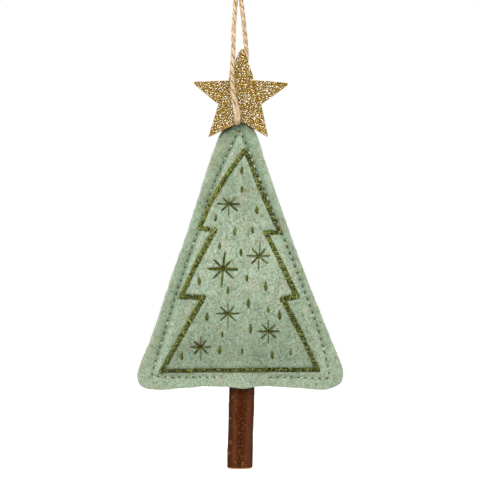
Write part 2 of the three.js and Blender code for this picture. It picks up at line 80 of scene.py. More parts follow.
CAMERA_AWAY, SENSOR = 1200.0, 36.0
# The pixel's size holds on a plane this far in front of the tree's middle
PLANE_OUT = 2.0
camera_data = bpy.data.cameras.new("front_view")
camera_data.sensor_width = SENSOR
camera_data.lens = SENSOR * CAMERA_AWAY / (PICTURE * PIXEL)
camera_data.clip_start, camera_data.clip_end = 0.05, 50
camera = bpy.data.objects.new("front_view", camera_data)
bpy.context.scene.collection.objects.link(camera)
aim_x, aim_z = seen(PICTURE / 2, PICTURE / 2)
camera.location = (aim_x * MM, -(CAMERA_AWAY + PLANE_OUT) * MM, aim_z * MM)
camera.rotation_euler = (math.pi / 2, 0, 0)
bpy.context.scene.camera = camera
bpy.context.scene.view_settings.view_transform = "Standard"

# Mesh helpers


def smooth(share):
    share = np.clip(share, 0, 1)
    return share * share * (3 - 2 * share)


def unit(vectors):
    return vectors / np.maximum(np.linalg.norm(vectors, axis=-1, keepdims=True), 1e-9)


def closed(line):
    """A loop of places with its first place once more at its end."""
    return np.vstack([line, line[:1]])


def mesh_from(bm, name):
    mesh = bpy.data.meshes.new(name)
    bm.to_mesh(mesh)
    bm.free()
    return mesh


def dress(name, mesh, finish, node=None, body="ornament", smooth_faces=True):
    """An object at the origin that rides on a body and may stand for a CAD node."""
    mesh.name = name
    if smooth_faces:
        mesh.shade_smooth()
    piece = bpy.data.objects.new(name, mesh)
    bpy.context.scene.collection.objects.link(piece)
    mesh.materials.clear()
    mesh.materials.append(finish)
    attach(piece, body)
    if node:
        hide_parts(node)
    return piece


def round_plate(sides):
    """A closed cylinder of radius 1 and height 1 round the origin."""
    bm = bmesh.new()
    bmesh.ops.create_cone(bm, cap_ends=True, segments=sides, radius1=1, radius2=1, depth=1)
    return bm


def tube_template(sides, rings):
    """A closed tube of radius 1 along Z from 0 to 1, as places, faces and UVs."""
    bm = round_plate(sides)
    bmesh.ops.translate(bm, vec=(0, 0, 0.5), verts=bm.verts)
    long_edges = [e for e in bm.edges if abs(e.verts[0].co.z - e.verts[1].co.z) > 0.5]
    if rings > 2:
        bmesh.ops.subdivide_edges(bm, edges=long_edges, cuts=rings - 2, use_grid_fill=True)
    return template_of(bm, lambda co: (math.atan2(co.y, co.x) / math.tau % 1, co.z))


def flake_template():
    """A six-sided plate of radius 1 and thickness 1 round the origin."""
    return template_of(round_plate(6), lambda co: (co.x / 2 + 0.5, co.y / 2 + 0.5))


def template_of(bm, uv_at):
    """A form's places, its faces' corners and where each face's start, and the corners' UVs."""
    bm.verts.index_update()
    corners, starts, uvs = [], [], []
    for face in bm.faces:
        starts.append(len(corners))
        marks = [uv_at(loop.vert.co) for loop in face.loops]
        wraps = max(m[0] for m in marks) - min(m[0] for m in marks) > 0.5
        for loop, (u, v) in zip(face.loops, marks):
            corners.append(loop.vert.index)
            uvs.append((u + 1 if wraps and u < 0.5 else u, v))
    places = np.array([v.co for v in bm.verts], float)
    bm.free()
    return places, np.array(corners), np.array(starts), np.array(uvs, float)


def repeat(name, template, places, tints, lengths=None):
    """One mesh of many copies of a template: places is copies by vertices by three, in mm."""
    _, corners, starts, uvs = template
    copies, count = places.shape[:2]
    mesh = bpy.data.meshes.new(name)
    mesh.vertices.add(copies * count)
    mesh.loops.add(copies * len(corners))
    mesh.polygons.add(copies * len(starts))
    mesh.vertices.foreach_set("co", (places * MM).astype(np.float32).ravel())
    step = np.arange(copies)[:, None]
    mesh.loops.foreach_set("vertex_index", (corners[None] + step * count).ravel())
    mesh.polygons.foreach_set("loop_start", (starts[None] + step * len(corners)).ravel())
    mesh.update(calc_edges=True)
    spread = np.repeat(uvs[None], copies, axis=0)
    if lengths is not None:
        spread = spread * np.stack([np.ones(copies), lengths], axis=-1)[:, None, :]
    layer = mesh.uv_layers.new(name="wrap")
    layer.data.foreach_set("uv", spread.astype(np.float32).ravel())
    tints = np.broadcast_to(np.reshape(tints, (copies, -1)), (copies, count))
    keep_mark(mesh, "tint", tints.ravel())
    return mesh


def keep_mark(mesh, name, values):
    mark = mesh.attributes.new(name, "FLOAT", "POINT")
    mark.data.foreach_set("value", values.astype(np.float32))


def lay_tubes(name, paths, radii, sides, up, tints, lobes=0.0, widen=1.0):
    """Closed tubes along many paths of as many points each, as one mesh.

    up is the way a tube's first side faces, and widen stretches it across that. tints are
    one value a tube, or one value a ring."""
    copies, rings = paths.shape[:2]
    template = tube_template(sides, rings)
    flat = template[0]
    ring = np.rint(flat[:, 2] * (rings - 1)).astype(int)
    along = unit(np.gradient(paths, axis=1))
    up = np.broadcast_to(np.asarray(up, float), paths.shape)
    out = unit(up - (up * along).sum(-1, keepdims=True) * along)
    side = np.cross(along, out)
    radii = np.broadcast_to(np.asarray(radii, float), (copies, rings)).copy()
    radii[:, [0, -1]] *= 0.55
    steps = np.linalg.norm(np.diff(paths, axis=1), axis=-1)
    length = np.concatenate([np.zeros((copies, 1)), np.cumsum(steps, axis=1)], axis=1)
    turn = np.arctan2(flat[:, 1], flat[:, 0])
    swell = 1 + lobes * np.cos(3 * turn[None] + 1.7 * length[:, ring])
    size = (radii[:, ring] * swell)[..., None]
    places = paths[:, ring] + size * (flat[:, 0, None] * out[:, ring]
                                      + widen * flat[:, 1, None] * side[:, ring])
    if np.ndim(tints) < 2:
        tints = np.reshape(tints, (-1, 1))
    tints = np.broadcast_to(tints, (copies, rings))
    return repeat(name, template, places, tints[:, ring], length[:, -1])


def joined(name, meshes):
    """Several meshes as one."""
    bm = bmesh.new()
    for mesh in meshes:
        bm.from_mesh(mesh)
        bpy.data.meshes.remove(mesh)
    return mesh_from(bm, name)


def grid_mesh(name, columns, rows, place_at):
    """A mesh of rings from one pole to the other.

    place_at takes columns and rows. It gives places in mm, and named values to keep."""
    bm = bmesh.new()
    bmesh.ops.create_grid(bm, x_segments=columns, y_segments=rows - 1, size=1)
    mesh = mesh_from(bm, name)
    flat = np.zeros(len(mesh.vertices) * 3)
    mesh.vertices.foreach_get("co", flat)
    flat = flat.reshape(-1, 3)
    column = np.rint((flat[:, 0] + 1) / 2 * columns).astype(int)
    row = np.rint((flat[:, 1] + 1) / 2 * (rows - 1)).astype(int)
    places, marks = place_at(column, row)
    mesh.vertices.foreach_set("co", (places * MM).astype(np.float32).ravel())
    for key, values in marks.items():
        keep_mark(mesh, key, values)
    corner_vertex = np.zeros(len(mesh.loops), int)
    mesh.loops.foreach_get("vertex_index", corner_vertex)
    uv = np.stack([column / columns, row / (rows - 1)], axis=-1)[corner_vertex]
    mesh.uv_layers.new(name="wrap").data.foreach_set("uv", uv.astype(np.float32).ravel())
    bm = bmesh.new()
    bm.from_mesh(mesh)
    bmesh.ops.remove_doubles(bm, verts=bm.verts, dist=1e-7)
    bmesh.ops.recalc_face_normals(bm, faces=bm.faces)
    bm.to_mesh(mesh)
    bm.free()
    return mesh


def softened(node, cuts, rounds, factor):
    """A CAD node's form with its points merged, cut finer and its edges rounded."""
    bm = bmesh.new()
    bm.from_mesh(nodes[node].data)
    bmesh.ops.remove_doubles(bm, verts=bm.verts, dist=1e-6)
    bmesh.ops.subdivide_edges(bm, edges=bm.edges, cuts=cuts, use_grid_fill=True)
    for _ in range(rounds):
        bmesh.ops.smooth_vert(bm, verts=bm.verts, factor=factor, use_axis_x=True, use_axis_y=True,
                              use_axis_z=True)
    return bm


def smooth_route(points, per_span=24):
    """A smooth curve through places, the same as the CAD's routes, as many close places."""
    points = np.array(points, float)
    points = np.vstack([2 * points[0] - points[1], points, 2 * points[-1] - points[-2]])
    return through(points, per_span)


def smooth_loop(points, per_span=24):
    """The same round a closed outline, whose end isn't its start again."""
    points = np.array(points, float)
    return through(np.vstack([points[-1], points, points[:2]]), per_span)[:-1]


def through(points, per_span):
    """A smooth curve through all places but the first and the last, which steer it."""
    t = np.linspace(0, 1, per_span, endpoint=False)[:, None]
    line = []
    for a, b, c, d in zip(points, points[1:], points[2:], points[3:]):
        ab, bc, cd = (max(np.linalg.norm(q - p) ** 0.5, 1e-4) for p, q in ((a, b), (b, c), (c, d)))
        leave = ((b - a) / ab - (c - a) / (ab + bc) + (c - b) / bc) * bc
        arrive = ((c - b) / bc - (d - b) / (bc + cd) + (d - c) / cd) * bc
        line.append(b + t * leave + t ** 2 * (3 * (c - b) - 2 * leave - arrive)
                    + t ** 3 * (2 * (b - c) + leave + arrive))
    line.append(points[-2][None])
    return np.vstack(line)


def spaced(line, count):
    """A line again, with as many places an even step apart."""
    steps = np.linalg.norm(np.diff(line, axis=0), axis=1)
    along = np.concatenate([[0], np.cumsum(steps)])
    at = np.linspace(0, along[-1], count)
    return np.stack([np.interp(at, along, line[:, k]) for k in range(line.shape[1])], axis=1)


def length_of(line):
    return float(np.linalg.norm(np.diff(line, axis=0), axis=1).sum())


def to_line(points, line):
    """How far flat points are from a line of flat places, and how far along it they are."""
    best = np.full(len(points), np.inf)
    along = np.zeros(len(points))
    run = 0.0
    for a, b in zip(line, line[1:]):
        d = b - a
        span = math.hypot(*d)
        share = np.clip(((points - a) @ d) / max(span * span, 1e-12), 0, 1)
        away = np.linalg.norm(points - a - share[:, None] * d, axis=1)
        nearer = away < best
        best[nearer] = away[nearer]
        along[nearer] = run + share[nearer] * span
        run += span
    return best, along


def waves(points, size, seed, count=14):
    """A soft random relief between about -1 and 1 whose bumps are about that size."""
    rng = np.random.default_rng(seed)
    total = np.zeros(points.shape[:-1])
    for _ in range(count):
        way = unit(rng.normal(size=points.shape[-1]))
        pace = math.tau / (size * rng.uniform(0.7, 1.8))
        total += np.sin(points @ way * pace + rng.uniform(0, math.tau))
    return total / math.sqrt(count / 2) / 1.6


# Wiring of finishes


def tone(red, green, blue):
    """A colour as seen on a screen, from 0 to 255, in the shader's terms."""
    parts = [c / 255 for c in (red, green, blue)]
    return (*(c / 12.92 if c <= 0.04045 else ((c + 0.055) / 1.055) ** 2.4 for c in parts), 1)


class Wiring:
    """Adds nodes to one node tree and joins them."""

    def __init__(self, tree):
        self.tree = tree

    def give(self, node, inputs):
        """Joins a socket to each input, or sets the input's value."""
        for key, value in inputs.items():
            if isinstance(value, bpy.types.NodeSocket):
                self.tree.links.new(value, node.inputs[key])
            else:
                node.inputs[key].default_value = value

    def node(self, kind, inputs, **settings):
        node = self.tree.nodes.new("ShaderNode" + kind)
        for key, value in settings.items():
            setattr(node, key, value)
        self.give(node, inputs)
        return node

    def millimetres(self, turn=0.0, stretch=(1, 1, 1), move=(0, 0, 0)):
        """Object coordinates in millimetres, turned about the front's axis and stretched."""
        place = self.node("TexCoord", {}).outputs["Object"]
        turned = self.node("Mapping", {"Vector": place, "Rotation": (0, turn, 0),
                                       "Scale": (1000, 1000, 1000)}).outputs[0]
        return self.node("Mapping", {"Vector": turned, "Scale": stretch,
                                     "Location": move}).outputs[0]

    def wrap(self, stretch=(1, 1, 1)):
        """How far round a tube a point is, from 0 to 1, and how far along it, in mm."""
        marks = self.node("UVMap", {}, uv_map="wrap").outputs[0]
        return self.node("Mapping", {"Vector": marks, "Scale": stretch}).outputs[0]

    def part(self, place, axis):
        return self.node("SeparateXYZ", {0: place}).outputs["XYZ".index(axis)]

    def mark(self, name):
        return self.node("Attribute", {}, attribute_name=name).outputs["Fac"]

    def noise(self, place, scale, detail=2.0, roughness=0.5, distortion=0.0, output="Fac"):
        return self.node("TexNoise", {"Vector": place, "Scale": scale, "Detail": detail,
                                      "Roughness": roughness,
                                      "Distortion": distortion}).outputs[output]

    def math(self, operation, first, second=0.0):
        return self.node("Math", {0: first, 1: second}, operation=operation).outputs[0]

    def times(self, first, second):
        return self.math("MULTIPLY", first, second)

    def plus(self, first, second):
        return self.math("ADD", first, second)

    def most(self, first, second):
        return self.math("MAXIMUM", first, second)

    def from_half(self, value):
        """How far a value is from a half."""
        return self.math("ABSOLUTE", self.math("SUBTRACT", value, 0.5))

    def add(self, place, other):
        return self.node("VectorMath", {0: place, 1: other}, operation="ADD").outputs[0]

    def scaled(self, place, size):
        return self.node("VectorMath", {0: place, "Scale": size}, operation="SCALE").outputs[0]

    def band(self, value, low, high, start=0.0, end=1.0):
        """A value eased from start at low to end at high."""
        return self.node("MapRange", {"Value": value, "From Min": low, "From Max": high,
                                      "To Min": start, "To Max": end},
                         interpolation_type="SMOOTHSTEP").outputs[0]

    def blend(self, share, first, second, mode="MIX"):
        node = self.node("Mix", {}, data_type="RGBA", blend_type=mode)
        self.give(node, {0: share, 6: first, 7: second})
        return node.outputs[2]

    def paint(self, colour, *coats):
        """A colour with coats over it, each a share and a tone."""
        for share, coat in coats:
            colour = self.blend(share, colour, coat)
        return colour

    def bump(self, height, distance, strength=1.0):
        return self.node("Bump", {"Height": height, "Distance": distance * MM,
                                  "Strength": strength}).outputs[0]

    def group(self, tree, **inputs):
        node = self.tree.nodes.new("ShaderNodeGroup")
        node.node_tree = tree
        self.give(node, inputs)
        return node.outputs

    def seen_white(self):
        """1 for what the camera sees, and for reflections and what shows through glass."""
        rays = self.node("LightPath", {}).outputs
        return self.most(rays["Is Camera Ray"],
                         self.most(rays["Is Glossy Ray"], rays["Is Transmission Ray"]))


def new_finish(name, **constants):
    """A material with its wiring, and constants set on its shader's own sockets."""
    finish = bpy.data.materials.new(name)
    finish.use_nodes = True
    shader = finish.node_tree.nodes["Principled BSDF"]
    for key, value in constants.items():
        shader.inputs[key.replace("_", " ")].default_value = value
    return finish, Wiring(finish.node_tree), shader


def feed(wiring, shader, **sockets):
    wiring.give(shader, {key.replace("_", " "): socket for key, socket in sockets.items()})


def new_group(name, inputs, outputs):
    tree = bpy.data.node_groups.new(name, "ShaderNodeTree")
    for key, value in inputs.items():
        socket = tree.interface.new_socket(key, in_out="INPUT", socket_type="NodeSocketFloat")
        socket.default_value = value
    for key in outputs:
        tree.interface.new_socket(key, in_out="OUTPUT", socket_type="NodeSocketFloat")
    given = tree.nodes.new("NodeGroupInput").outputs
    return tree, Wiring(tree), given, tree.nodes.new("NodeGroupOutput")


def wool_group():
    """Wool: clouds of shade, brownish patches, light and dark fibres that cross and curl, flecks."""
    tree, w, given, end = new_group("wool_heather", {"Curl": 1.0}, [
        "Cloud", "Patches", "Light", "Dark", "Flecks", "Grain", "Warm", "Height"])
    curl = w.noise(w.millimetres(), 0.22, output="Color")
    curl = w.scaled(w.add(curl, (-0.5, -0.5, -0.5)), 2.0)
    curl = w.scaled(curl, given["Curl"])
    layers = []
    for i, turn in enumerate((0.35, 1.2, 2.1, 2.75)):
        place = w.add(w.millimetres(move=(31 * i, 7 * i, 13 * i)), curl)
        place = w.node("Mapping", {"Vector": place, "Rotation": (0, turn, 0)}).outputs[0]
        place = w.node("Mapping", {"Vector": place, "Scale": (1.9, 1.9, 0.27)}).outputs[0]
        layers.append(w.band(w.from_half(w.noise(place, 1.0, 1.6, 0.6)), 0, 0.07, 1, 0))
    light, dark = w.most(layers[0], layers[2]), w.most(layers[1], layers[3])
    small_clouds = w.noise(w.millimetres(move=(9, 4, 2)), 0.62, 3.0, 0.66, 0.4)
    cloud = w.plus(w.times(w.noise(w.millimetres(), 0.12, 2.0), 0.35), w.times(small_clouds, 0.65))
    patches = w.noise(w.millimetres(move=(5, 1, 8)), 0.2, 3.0, 0.6, 0.5)
    fleck = w.noise(w.millimetres(turn=0.6, stretch=(1, 1, 0.6)), 0.7, 4.0, 0.65, 1.2)
    fine = w.noise(w.millimetres(move=(3, 8, 1)), 1.7, 3.0, 0.7, 0.3)
    grain = w.noise(w.millimetres(), 2.6, 2.0, 0.6)
    warm = w.noise(w.millimetres(turn=0.9, move=(7, 3, 5)), 0.6, 4.0, 0.74, 0.5)
    height = w.plus(w.times(w.plus(light, dark), 0.5), w.times(grain, 0.8))
    w.give(end, {"Cloud": cloud, "Patches": w.band(patches, 0.5, 0.66), "Light": light, "Dark": dark,
                 "Flecks": w.band(fleck, 0.55, 0.68), "Grain": w.band(fine, 0.48, 0.68),
                 "Warm": w.band(warm, 0.45, 0.62), "Height": height})
    return tree


def spun_group():
    """Spun fibre: streaks that run along a thread or a ply, with their tint."""
    tree, w, given, end = new_group("spun_fibre", {"Around": 9.0, "Along": 0.35}, ["Streaks", "Height"])
    around, along = w.part(w.wrap(), "X"), w.part(w.wrap(), "Y")
    across = w.times(w.plus(around, w.times(along, 0.11)), given["Around"])
    place = w.node("CombineXYZ", {0: across, 1: w.times(along, given["Along"]),
                                  2: w.times(w.mark("tint"), 40.0)}).outputs[0]
    streaks = w.noise(place, 1.0, 3.0, 0.6)
    w.give(end, {"Streaks": w.band(streaks, 0.3, 0.7), "Height": streaks})
    return tree


wool, spun = wool_group(), spun_group()


def felt_finish(name, pale, deep, patch_tone, fleck_tone, fibre_tone):
    finish, w, shader = new_finish(name, Sheen_Weight=0.1, Sheen_Roughness=0.6,
                                   Sheen_Tint=tone(215, 225, 200), Specular_IOR_Level=0.05)
    fibres = w.group(wool, Curl=1.0)
    away = w.mark("seam_away")
    level = w.part(w.millimetres(), "Z")
    outside = w.times(w.band(away, -0.5, 1.0), w.band(away, 8.0, 9.0, 1, 0))
    colour = w.paint(
        w.blend(w.band(fibres["Cloud"], 0.39, 0.58), pale, deep),
        (w.times(fibres["Warm"], 0.6), patch_tone),
        (w.times(fibres["Patches"], 0.42), patch_tone),
        (w.times(fibres["Flecks"], w.band(level, -130, -165, 0.3, 0.7)), fleck_tone),
        (w.times(fibres["Grain"], 0.36), tone(112, 128, 92)),
        (w.times(fibres["Dark"], 0.16), tone(104, 120, 86)),
        (w.times(fibres["Light"], w.band(outside, 0, 1, 0.6, 0.44)), fibre_tone))

    # Painted shade on the slope outside the seam and over the upper end of the middle, and the middle darker
    # towards its lower end
    colour = w.blend(w.mark("border_shade"), colour, (0.33, 0.43, 0.34, 1), "MULTIPLY")
    darker_ends = w.most(w.band(level, -136, -176, 0, 0.62), w.band(level, -138, -108, 0, 0.42))
    colour = w.blend(w.times(darker_ends, w.mark("inner")), colour, (0.54, 0.6, 0.54, 1), "MULTIPLY")

    # Painted shade in the seam's crease and its holes, and beside and under the embroidered outline
    crease = w.math("ABSOLUTE", w.plus(away, w.mark("groove_drift")))
    crease = w.times(w.band(crease, 0.2, 1.1, 0.42, 0), w.mark("side_seam"))
    beside = w.math("SUBTRACT", w.math("FRACT", w.plus(w.mark("seam_along"), 0.5)), 0.5)
    hole = w.math("SQRT", w.plus(w.math("POWER", w.times(beside, STITCH * 0.6), 2.0),
                                 w.math("POWER", w.times(away, 1.15), 2.0)))
    hole = w.plus(hole, w.times(w.noise(w.millimetres(move=(2, 2, 7)), 1.3, 1.0), 0.36))
    hole = w.band(hole, 0.4, 0.68, 1, 0)
    outline_away = w.mark("band_away")
    blotch_noise = w.noise(w.millimetres(move=(4, 6, 1)), 0.55, 4.0, 0.7)
    colour = w.paint(
        colour,
        (crease, tone(92, 118, 90)),
        (w.times(hole, 0.85), tone(50, 62, 42)),
        (w.band(outline_away, 0.8, 1.9, 0.12, 0), tone(92, 108, 72)),
        (w.band(outline_away, 0.62, 0.92, 0.95, 0), tone(36, 42, 16)),
        # Paler cut fibres at the edge, with a painted highlight where the edge rolls over
        (w.times(w.mark("cut_edge_rim_light"), 0.4), tone(208, 222, 190)),
        # Painted shadow of the star over the tip, with brownish stains in it
        (w.times(w.mark("stain_and_star_shadow"), w.band(blotch_noise, 0.4, 0.6, 0.5, 1)), tone(50, 66, 38)),
        (w.times(w.mark("shaded"), w.band(blotch_noise, 0.3, 0.5, 0.7, 1)), tone(42, 54, 32)))
    height = w.math("SUBTRACT", fibres["Height"], w.times(hole, 2.0))
    feed(w, shader, Base_Color=colour, Normal=w.bump(height, 0.11, 0.7),
         Roughness=w.band(fibres["Light"], 0, 1, 0.96, 0.86))
    return finish


front_felt_finish = felt_finish("sage_felt_front", tone(153, 183, 150), tone(119, 148, 112),
                                tone(164, 148, 114), tone(138, 110, 72), tone(222, 236, 218))
back_felt_finish = felt_finish("sage_felt_back", tone(149, 179, 146), tone(115, 144, 108),
                               tone(160, 144, 110), tone(134, 106, 68), tone(218, 232, 214))


def thread_finish(name, deep, middle, bright, roughness, sheen, grain):
    finish, w, shader = new_finish(name, Sheen_Weight=sheen, Specular_IOR_Level=0.08)
    fibre = w.group(spun, Around=6.0, Along=1.2)
    tint = w.mark("tint")
    grains = w.noise(w.millimetres(), 1.5, 2.0, 0.6)
    colour = w.paint(
        w.blend(w.band(tint, 0.0, 0.5), deep, middle),
        (w.band(tint, 0.5, 1.0), bright),
        (w.times(fibre["Streaks"], 0.3), deep),
        (w.band(grains, 0.5, 0.64, 0, grain), deep),
        (w.band(grains, 0.48, 0.36, 0, grain), bright))
    feed(w, shader, Base_Color=colour, Normal=w.bump(fibre["Height"], 0.03, 0.6),
         Roughness=w.band(fibre["Streaks"], 0, 1, roughness - 0.08, roughness + 0.1))
    return finish


olive_finish = thread_finish("olive_thread", tone(20, 26, 2), tone(90, 99, 36), tone(172, 179, 98),
                             0.5, 0.04, 0.75)
ray_finish = thread_finish("olive_ray_thread", tone(30, 36, 2), tone(94, 100, 32), tone(166, 168, 86),
                           0.5, 0.04, 0.4)
# The bright tone is a painted glint on the stitches that catch the light
seam_finish = thread_finish("sage_seam_thread", tone(136, 152, 122), tone(158, 175, 144),
                            tone(236, 242, 222), 0.55, 0.1, 0.3)


def wool_fuzz_finish():
    finish, w, shader = new_finish("sage_wool_fuzz", Roughness=0.9, Specular_IOR_Level=0.15)
    tint = w.mark("tint")
    colour = w.blend(w.band(tint, 0, 1), tone(134, 156, 126), tone(206, 220, 198))
    feed(w, shader, Base_Color=w.blend(w.band(tint, 0.9, 0.97), colour, tone(160, 146, 112)))
    return finish


def jute_finish():
    """Jute is pale on a ply's outside, with painted shade in the gap between the plies."""
    finish, w, shader = new_finish("natural_jute", Sheen_Weight=0.05, Specular_IOR_Level=0.06)
    fibre = w.group(spun, Around=7.0, Along=0.5)
    fine = w.noise(w.wrap(stretch=(26, 0.9, 1)), 1.0, 2.0)
    tint = w.mark("tint")
    # Painted shade in the groove between the two plies, less where they untwist
    gap = w.band(w.from_half(w.math("FRACT", w.part(w.wrap(), "X"))), 0.13, 0.27, 0.92, 0)
    gap = w.times(gap, w.band(tint, 0.2, 0.45, 1, 0.3))
    colour = w.paint(
        w.blend(fibre["Streaks"], tone(206, 160, 98), tone(252, 236, 202)),
        (w.band(fine, 0.52, 0.7, 0, 0.75), tone(178, 128, 68)),
        (w.band(tint, 0.3, 1.0, 0, 0.7), tone(248, 236, 210)),
        (gap, tone(146, 96, 42)))
    feed(w, shader, Base_Color=colour, Normal=w.bump(w.plus(fibre["Height"], fine), 0.09, 0.9),
         Roughness=w.band(fine, 0, 1, 0.7, 0.9))
    return finish


twine_finish = jute_finish()


def bark_finish():
    finish, w, shader = new_finish("twig_bark", Specular_IOR_Level=0.045)
    smear = w.noise(w.millimetres(stretch=(1, 1, 0.3)), 0.5, 3.0, 0.6, 0.4)
    mottle = w.noise(w.millimetres(stretch=(1, 1, 0.7)), 1.3, 4.0, 0.7)
    speck = w.noise(w.millimetres(stretch=(1, 1, 0.8), move=(3, 1, 4)), 2.1, 1.0, 0.5)
    rust = w.noise(w.millimetres(stretch=(1, 1, 0.7), move=(1, 9, 2)), 2.4, 1.0, 0.5)
    torn = w.band(w.noise(w.millimetres(), 1.9, 3.0, 0.7), 0.42, 0.52)
    colour = w.paint(
        w.blend(w.band(mottle, 0.34, 0.66), tone(44, 14, 0), tone(76, 31, 7)),
        # Painted sheen: greyer stripes down the flanks
        (w.times(w.mark("sheen_stripes"), w.band(smear, 0.3, 0.6, 0.45, 1)), tone(99, 57, 33)),
        (w.band(speck, 0.64, 0.74, 0, 0.5), tone(146, 108, 84)),
        (w.band(rust, 0.64, 0.72, 0, 0.6), tone(146, 80, 34)),
        (w.band(speck, 0.36, 0.28, 0, 0.6), tone(44, 18, 8)),
        (w.times(w.mark("chipped"), torn), tone(178, 108, 44)),
        # Painted shade under the felt and along the left side
        (w.mark("shaded"), tone(30, 14, 8)))
    height = w.plus(w.times(mottle, 0.8), w.times(speck, 0.5))
    feed(w, shader, Base_Color=colour, Normal=w.bump(height, 0.12, 0.5),
         Roughness=w.band(smear, 0.3, 0.7, 0.52, 0.72))
    return finish


def cut_wood_finish():
    finish, w, shader = new_finish("twig_cut_end", Specular_IOR_Level=0.3)
    heart = w.millimetres(move=(0.18, 0, 0))
    rings = w.node("TexWave", {"Vector": heart, "Scale": 0.42, "Distortion": 1.6, "Detail": 2.0,
                               "Detail Scale": 1.2}, wave_type="RINGS", rings_direction="Z")
    rings = rings.outputs["Fac"]
    pores = w.noise(w.millimetres(), 3.2, 2.0, 0.6)
    colour = w.paint(w.blend(rings, tone(206, 152, 88), tone(178, 118, 62)),
                     (w.band(pores, 0.58, 0.7, 0, 0.5), tone(120, 72, 38)))
    feed(w, shader, Base_Color=colour, Normal=w.bump(w.plus(rings, pores), 0.12, 0.6),
         Roughness=w.band(pores, 0, 1, 0.68, 0.84))
    return finish


def mottled_finish(name, pattern, bounds, tones, rough, bump, **constants):
    """A finish that goes between two tones, and is rougher in places, by one pattern.

    pattern is a noise's values after its place, or a shard size for broken flakes."""
    finish, w, shader = new_finish(name, **constants)
    if np.ndim(pattern):
        value = w.noise(w.millimetres(), *pattern)
    else:
        value = w.node("TexVoronoi", {"Vector": w.millimetres(), "Scale": pattern}).outputs["Distance"]
    feed(w, shader, Base_Color=w.blend(w.band(value, *bounds), *tones), Normal=w.bump(value, *bump),
         Roughness=w.band(value, 0, 1, *rough))
    return finish


card_finish = mottled_finish("star_card", (1.4, 4.0, 0.65), (0.36, 0.64),
                             (tone(182, 140, 76), tone(208, 168, 100)), (0.76, 0.9), (0.08, 0.6),
                             Specular_IOR_Level=0.25)
glitter_bed_finish = mottled_finish("glitter_bed", 2.4, (0.1, 0.6),
                                    (tone(172, 136, 56), tone(104, 78, 20)), (0.35, 0.7), (0.2, 0.8),
                                    Metallic=0.3)
glue_finish = mottled_finish("clear_glue", (0.5, 3.0), (0.35, 0.65),
                             (tone(236, 230, 208), tone(248, 245, 234)), (0.18, 0.34), (0.3, 0.4),
                             Transmission_Weight=0.35, IOR=1.47)
filling_finish = mottled_finish("white_fibre_fill", (0.9, 4.0, 0.7, 1.4), (0.3, 0.7),
                                (tone(222, 220, 212), tone(246, 245, 240)), (0.9, 1), (0.5, 0.8),
                                Sheen_Weight=0.3)

PALE_FLAKES, WHITE_FLAKES = 0.883, 0.92


def glitter_finish():
    """Flakes of deep, plain and pale gold, some cream and some white. The white and cream ones are partly
    painted sparkle, the deep ones partly painted dark reflection.
    """
    finish, w, shader = new_finish("gold_glitter", Metallic=0.92)
    tint = w.mark("tint")
    colour = w.paint(
        w.blend(w.band(tint, 0.08, 0.3), tone(64, 40, 0), tone(154, 118, 30)),
        (w.band(tint, 0.5, 0.84), tone(208, 176, 84)),
        (w.band(tint, PALE_FLAKES - 0.01, PALE_FLAKES), tone(250, 236, 186)),
        (w.band(tint, WHITE_FLAKES - 0.01, WHITE_FLAKES), tone(255, 255, 252)))
    haze = w.noise(w.millimetres(), 2.0, 1.0)
    feed(w, shader, Base_Color=colour, Roughness=w.band(haze, 0.3, 0.7, 0.18, 0.38))
    return finish


# Twine

FRONT_STRAND = [
    [-1.44, 0, -93.8], [-1.38, 0, -90.8], [-1.28, 0, -88.4], [-1.22, -0.03, -87],
    [-1.15, -0.43, -84.5], [-1.1, -1.39, -83.6], [-1.05, -2.35, -83.3],
    [-1.02, -3.68, -82.95], [-1, -4.48, -82.1], [-1, -4.7, -81.2], [-1.08, -4.7, -80.0],
    [-1.68, -4.7, -76.9], [-2.56, -4.7, -72.8], [-2.84, -4.7, -69.7], [-3.08, -4.7, -66.6],
    [-3.2, -4.7, -63.6], [-3, -4.65, -59], [-2.72, -4.5, -55.2], [-2.64, -4.25, -50.6],
    [-2.48, -3.65, -43.8], [-2.08, -3.1, -38.4], [-1.76, -2.7, -33.8], [-1.52, -2.5, -31]]
REAR_STRAND = [
    [0.96, 0, -93.8], [0.98, 0, -89.8], [1, 0, -86.2], [1.04, -0.05, -83.4],
    [1.12, -0.85, -80.2], [1.3, -1.2, -75.4], [1.6, -1.2, -69.8], [2, -1.2, -64.2],
    [2.48, -1.2, -58.6], [2.52, -1.2, -54.6], [2.4, -1.2, -52.2], [2.04, -1.2, -49],
    [1.56, -1.15, -43.8], [1, -1.1, -38.4], [0.36, -1.05, -33.8], [0, -1, -31]]
EYE = [
    [-1.9, -1.7, -23.6], [-2.4, -1.65, -21.2], [-3.6, -1.45, -17.4], [-4.7, -1.15, -13],
    [-5.2, -0.8, -8.6], [-4.75, -0.4, -4], [-3.1, -0.1, -0.75], [0, 0, 0.9],
    [3, -0.1, -0.75], [4.55, -0.4, -4], [4.8, -0.8, -8.6], [3.9, -1.15, -13],
    [2.4, -1.45, -17.4], [0.85, -1.65, -21.2], [0.3, -1.7, -23.6]]
# The eye's ends run on into the knot, so that they stay in it as it swings
EYE_IN_KNOT = [[-1.6, -1.7, -24.7], *EYE, [0.0, -1.7, -24.7]]
CURLY_FIBRE = [
    [-1.5, -4.3, -83.0], [-1.75, -3.4, -83.6], [-1.65, -3.0, -84.4], [-1.1, -2.9, -84.9],
    [-0.9, -2.9, -85.6], [-1.1, -2.8, -86.0]]
OVER_KNOT = [[-2.4, -1.2, -2.9], [-1.9, -2.9, -1.9], [-0.4, -3.45, 0.1], [1.2, -2.8, 2.0], [1.6, -1.1, 2.9]]

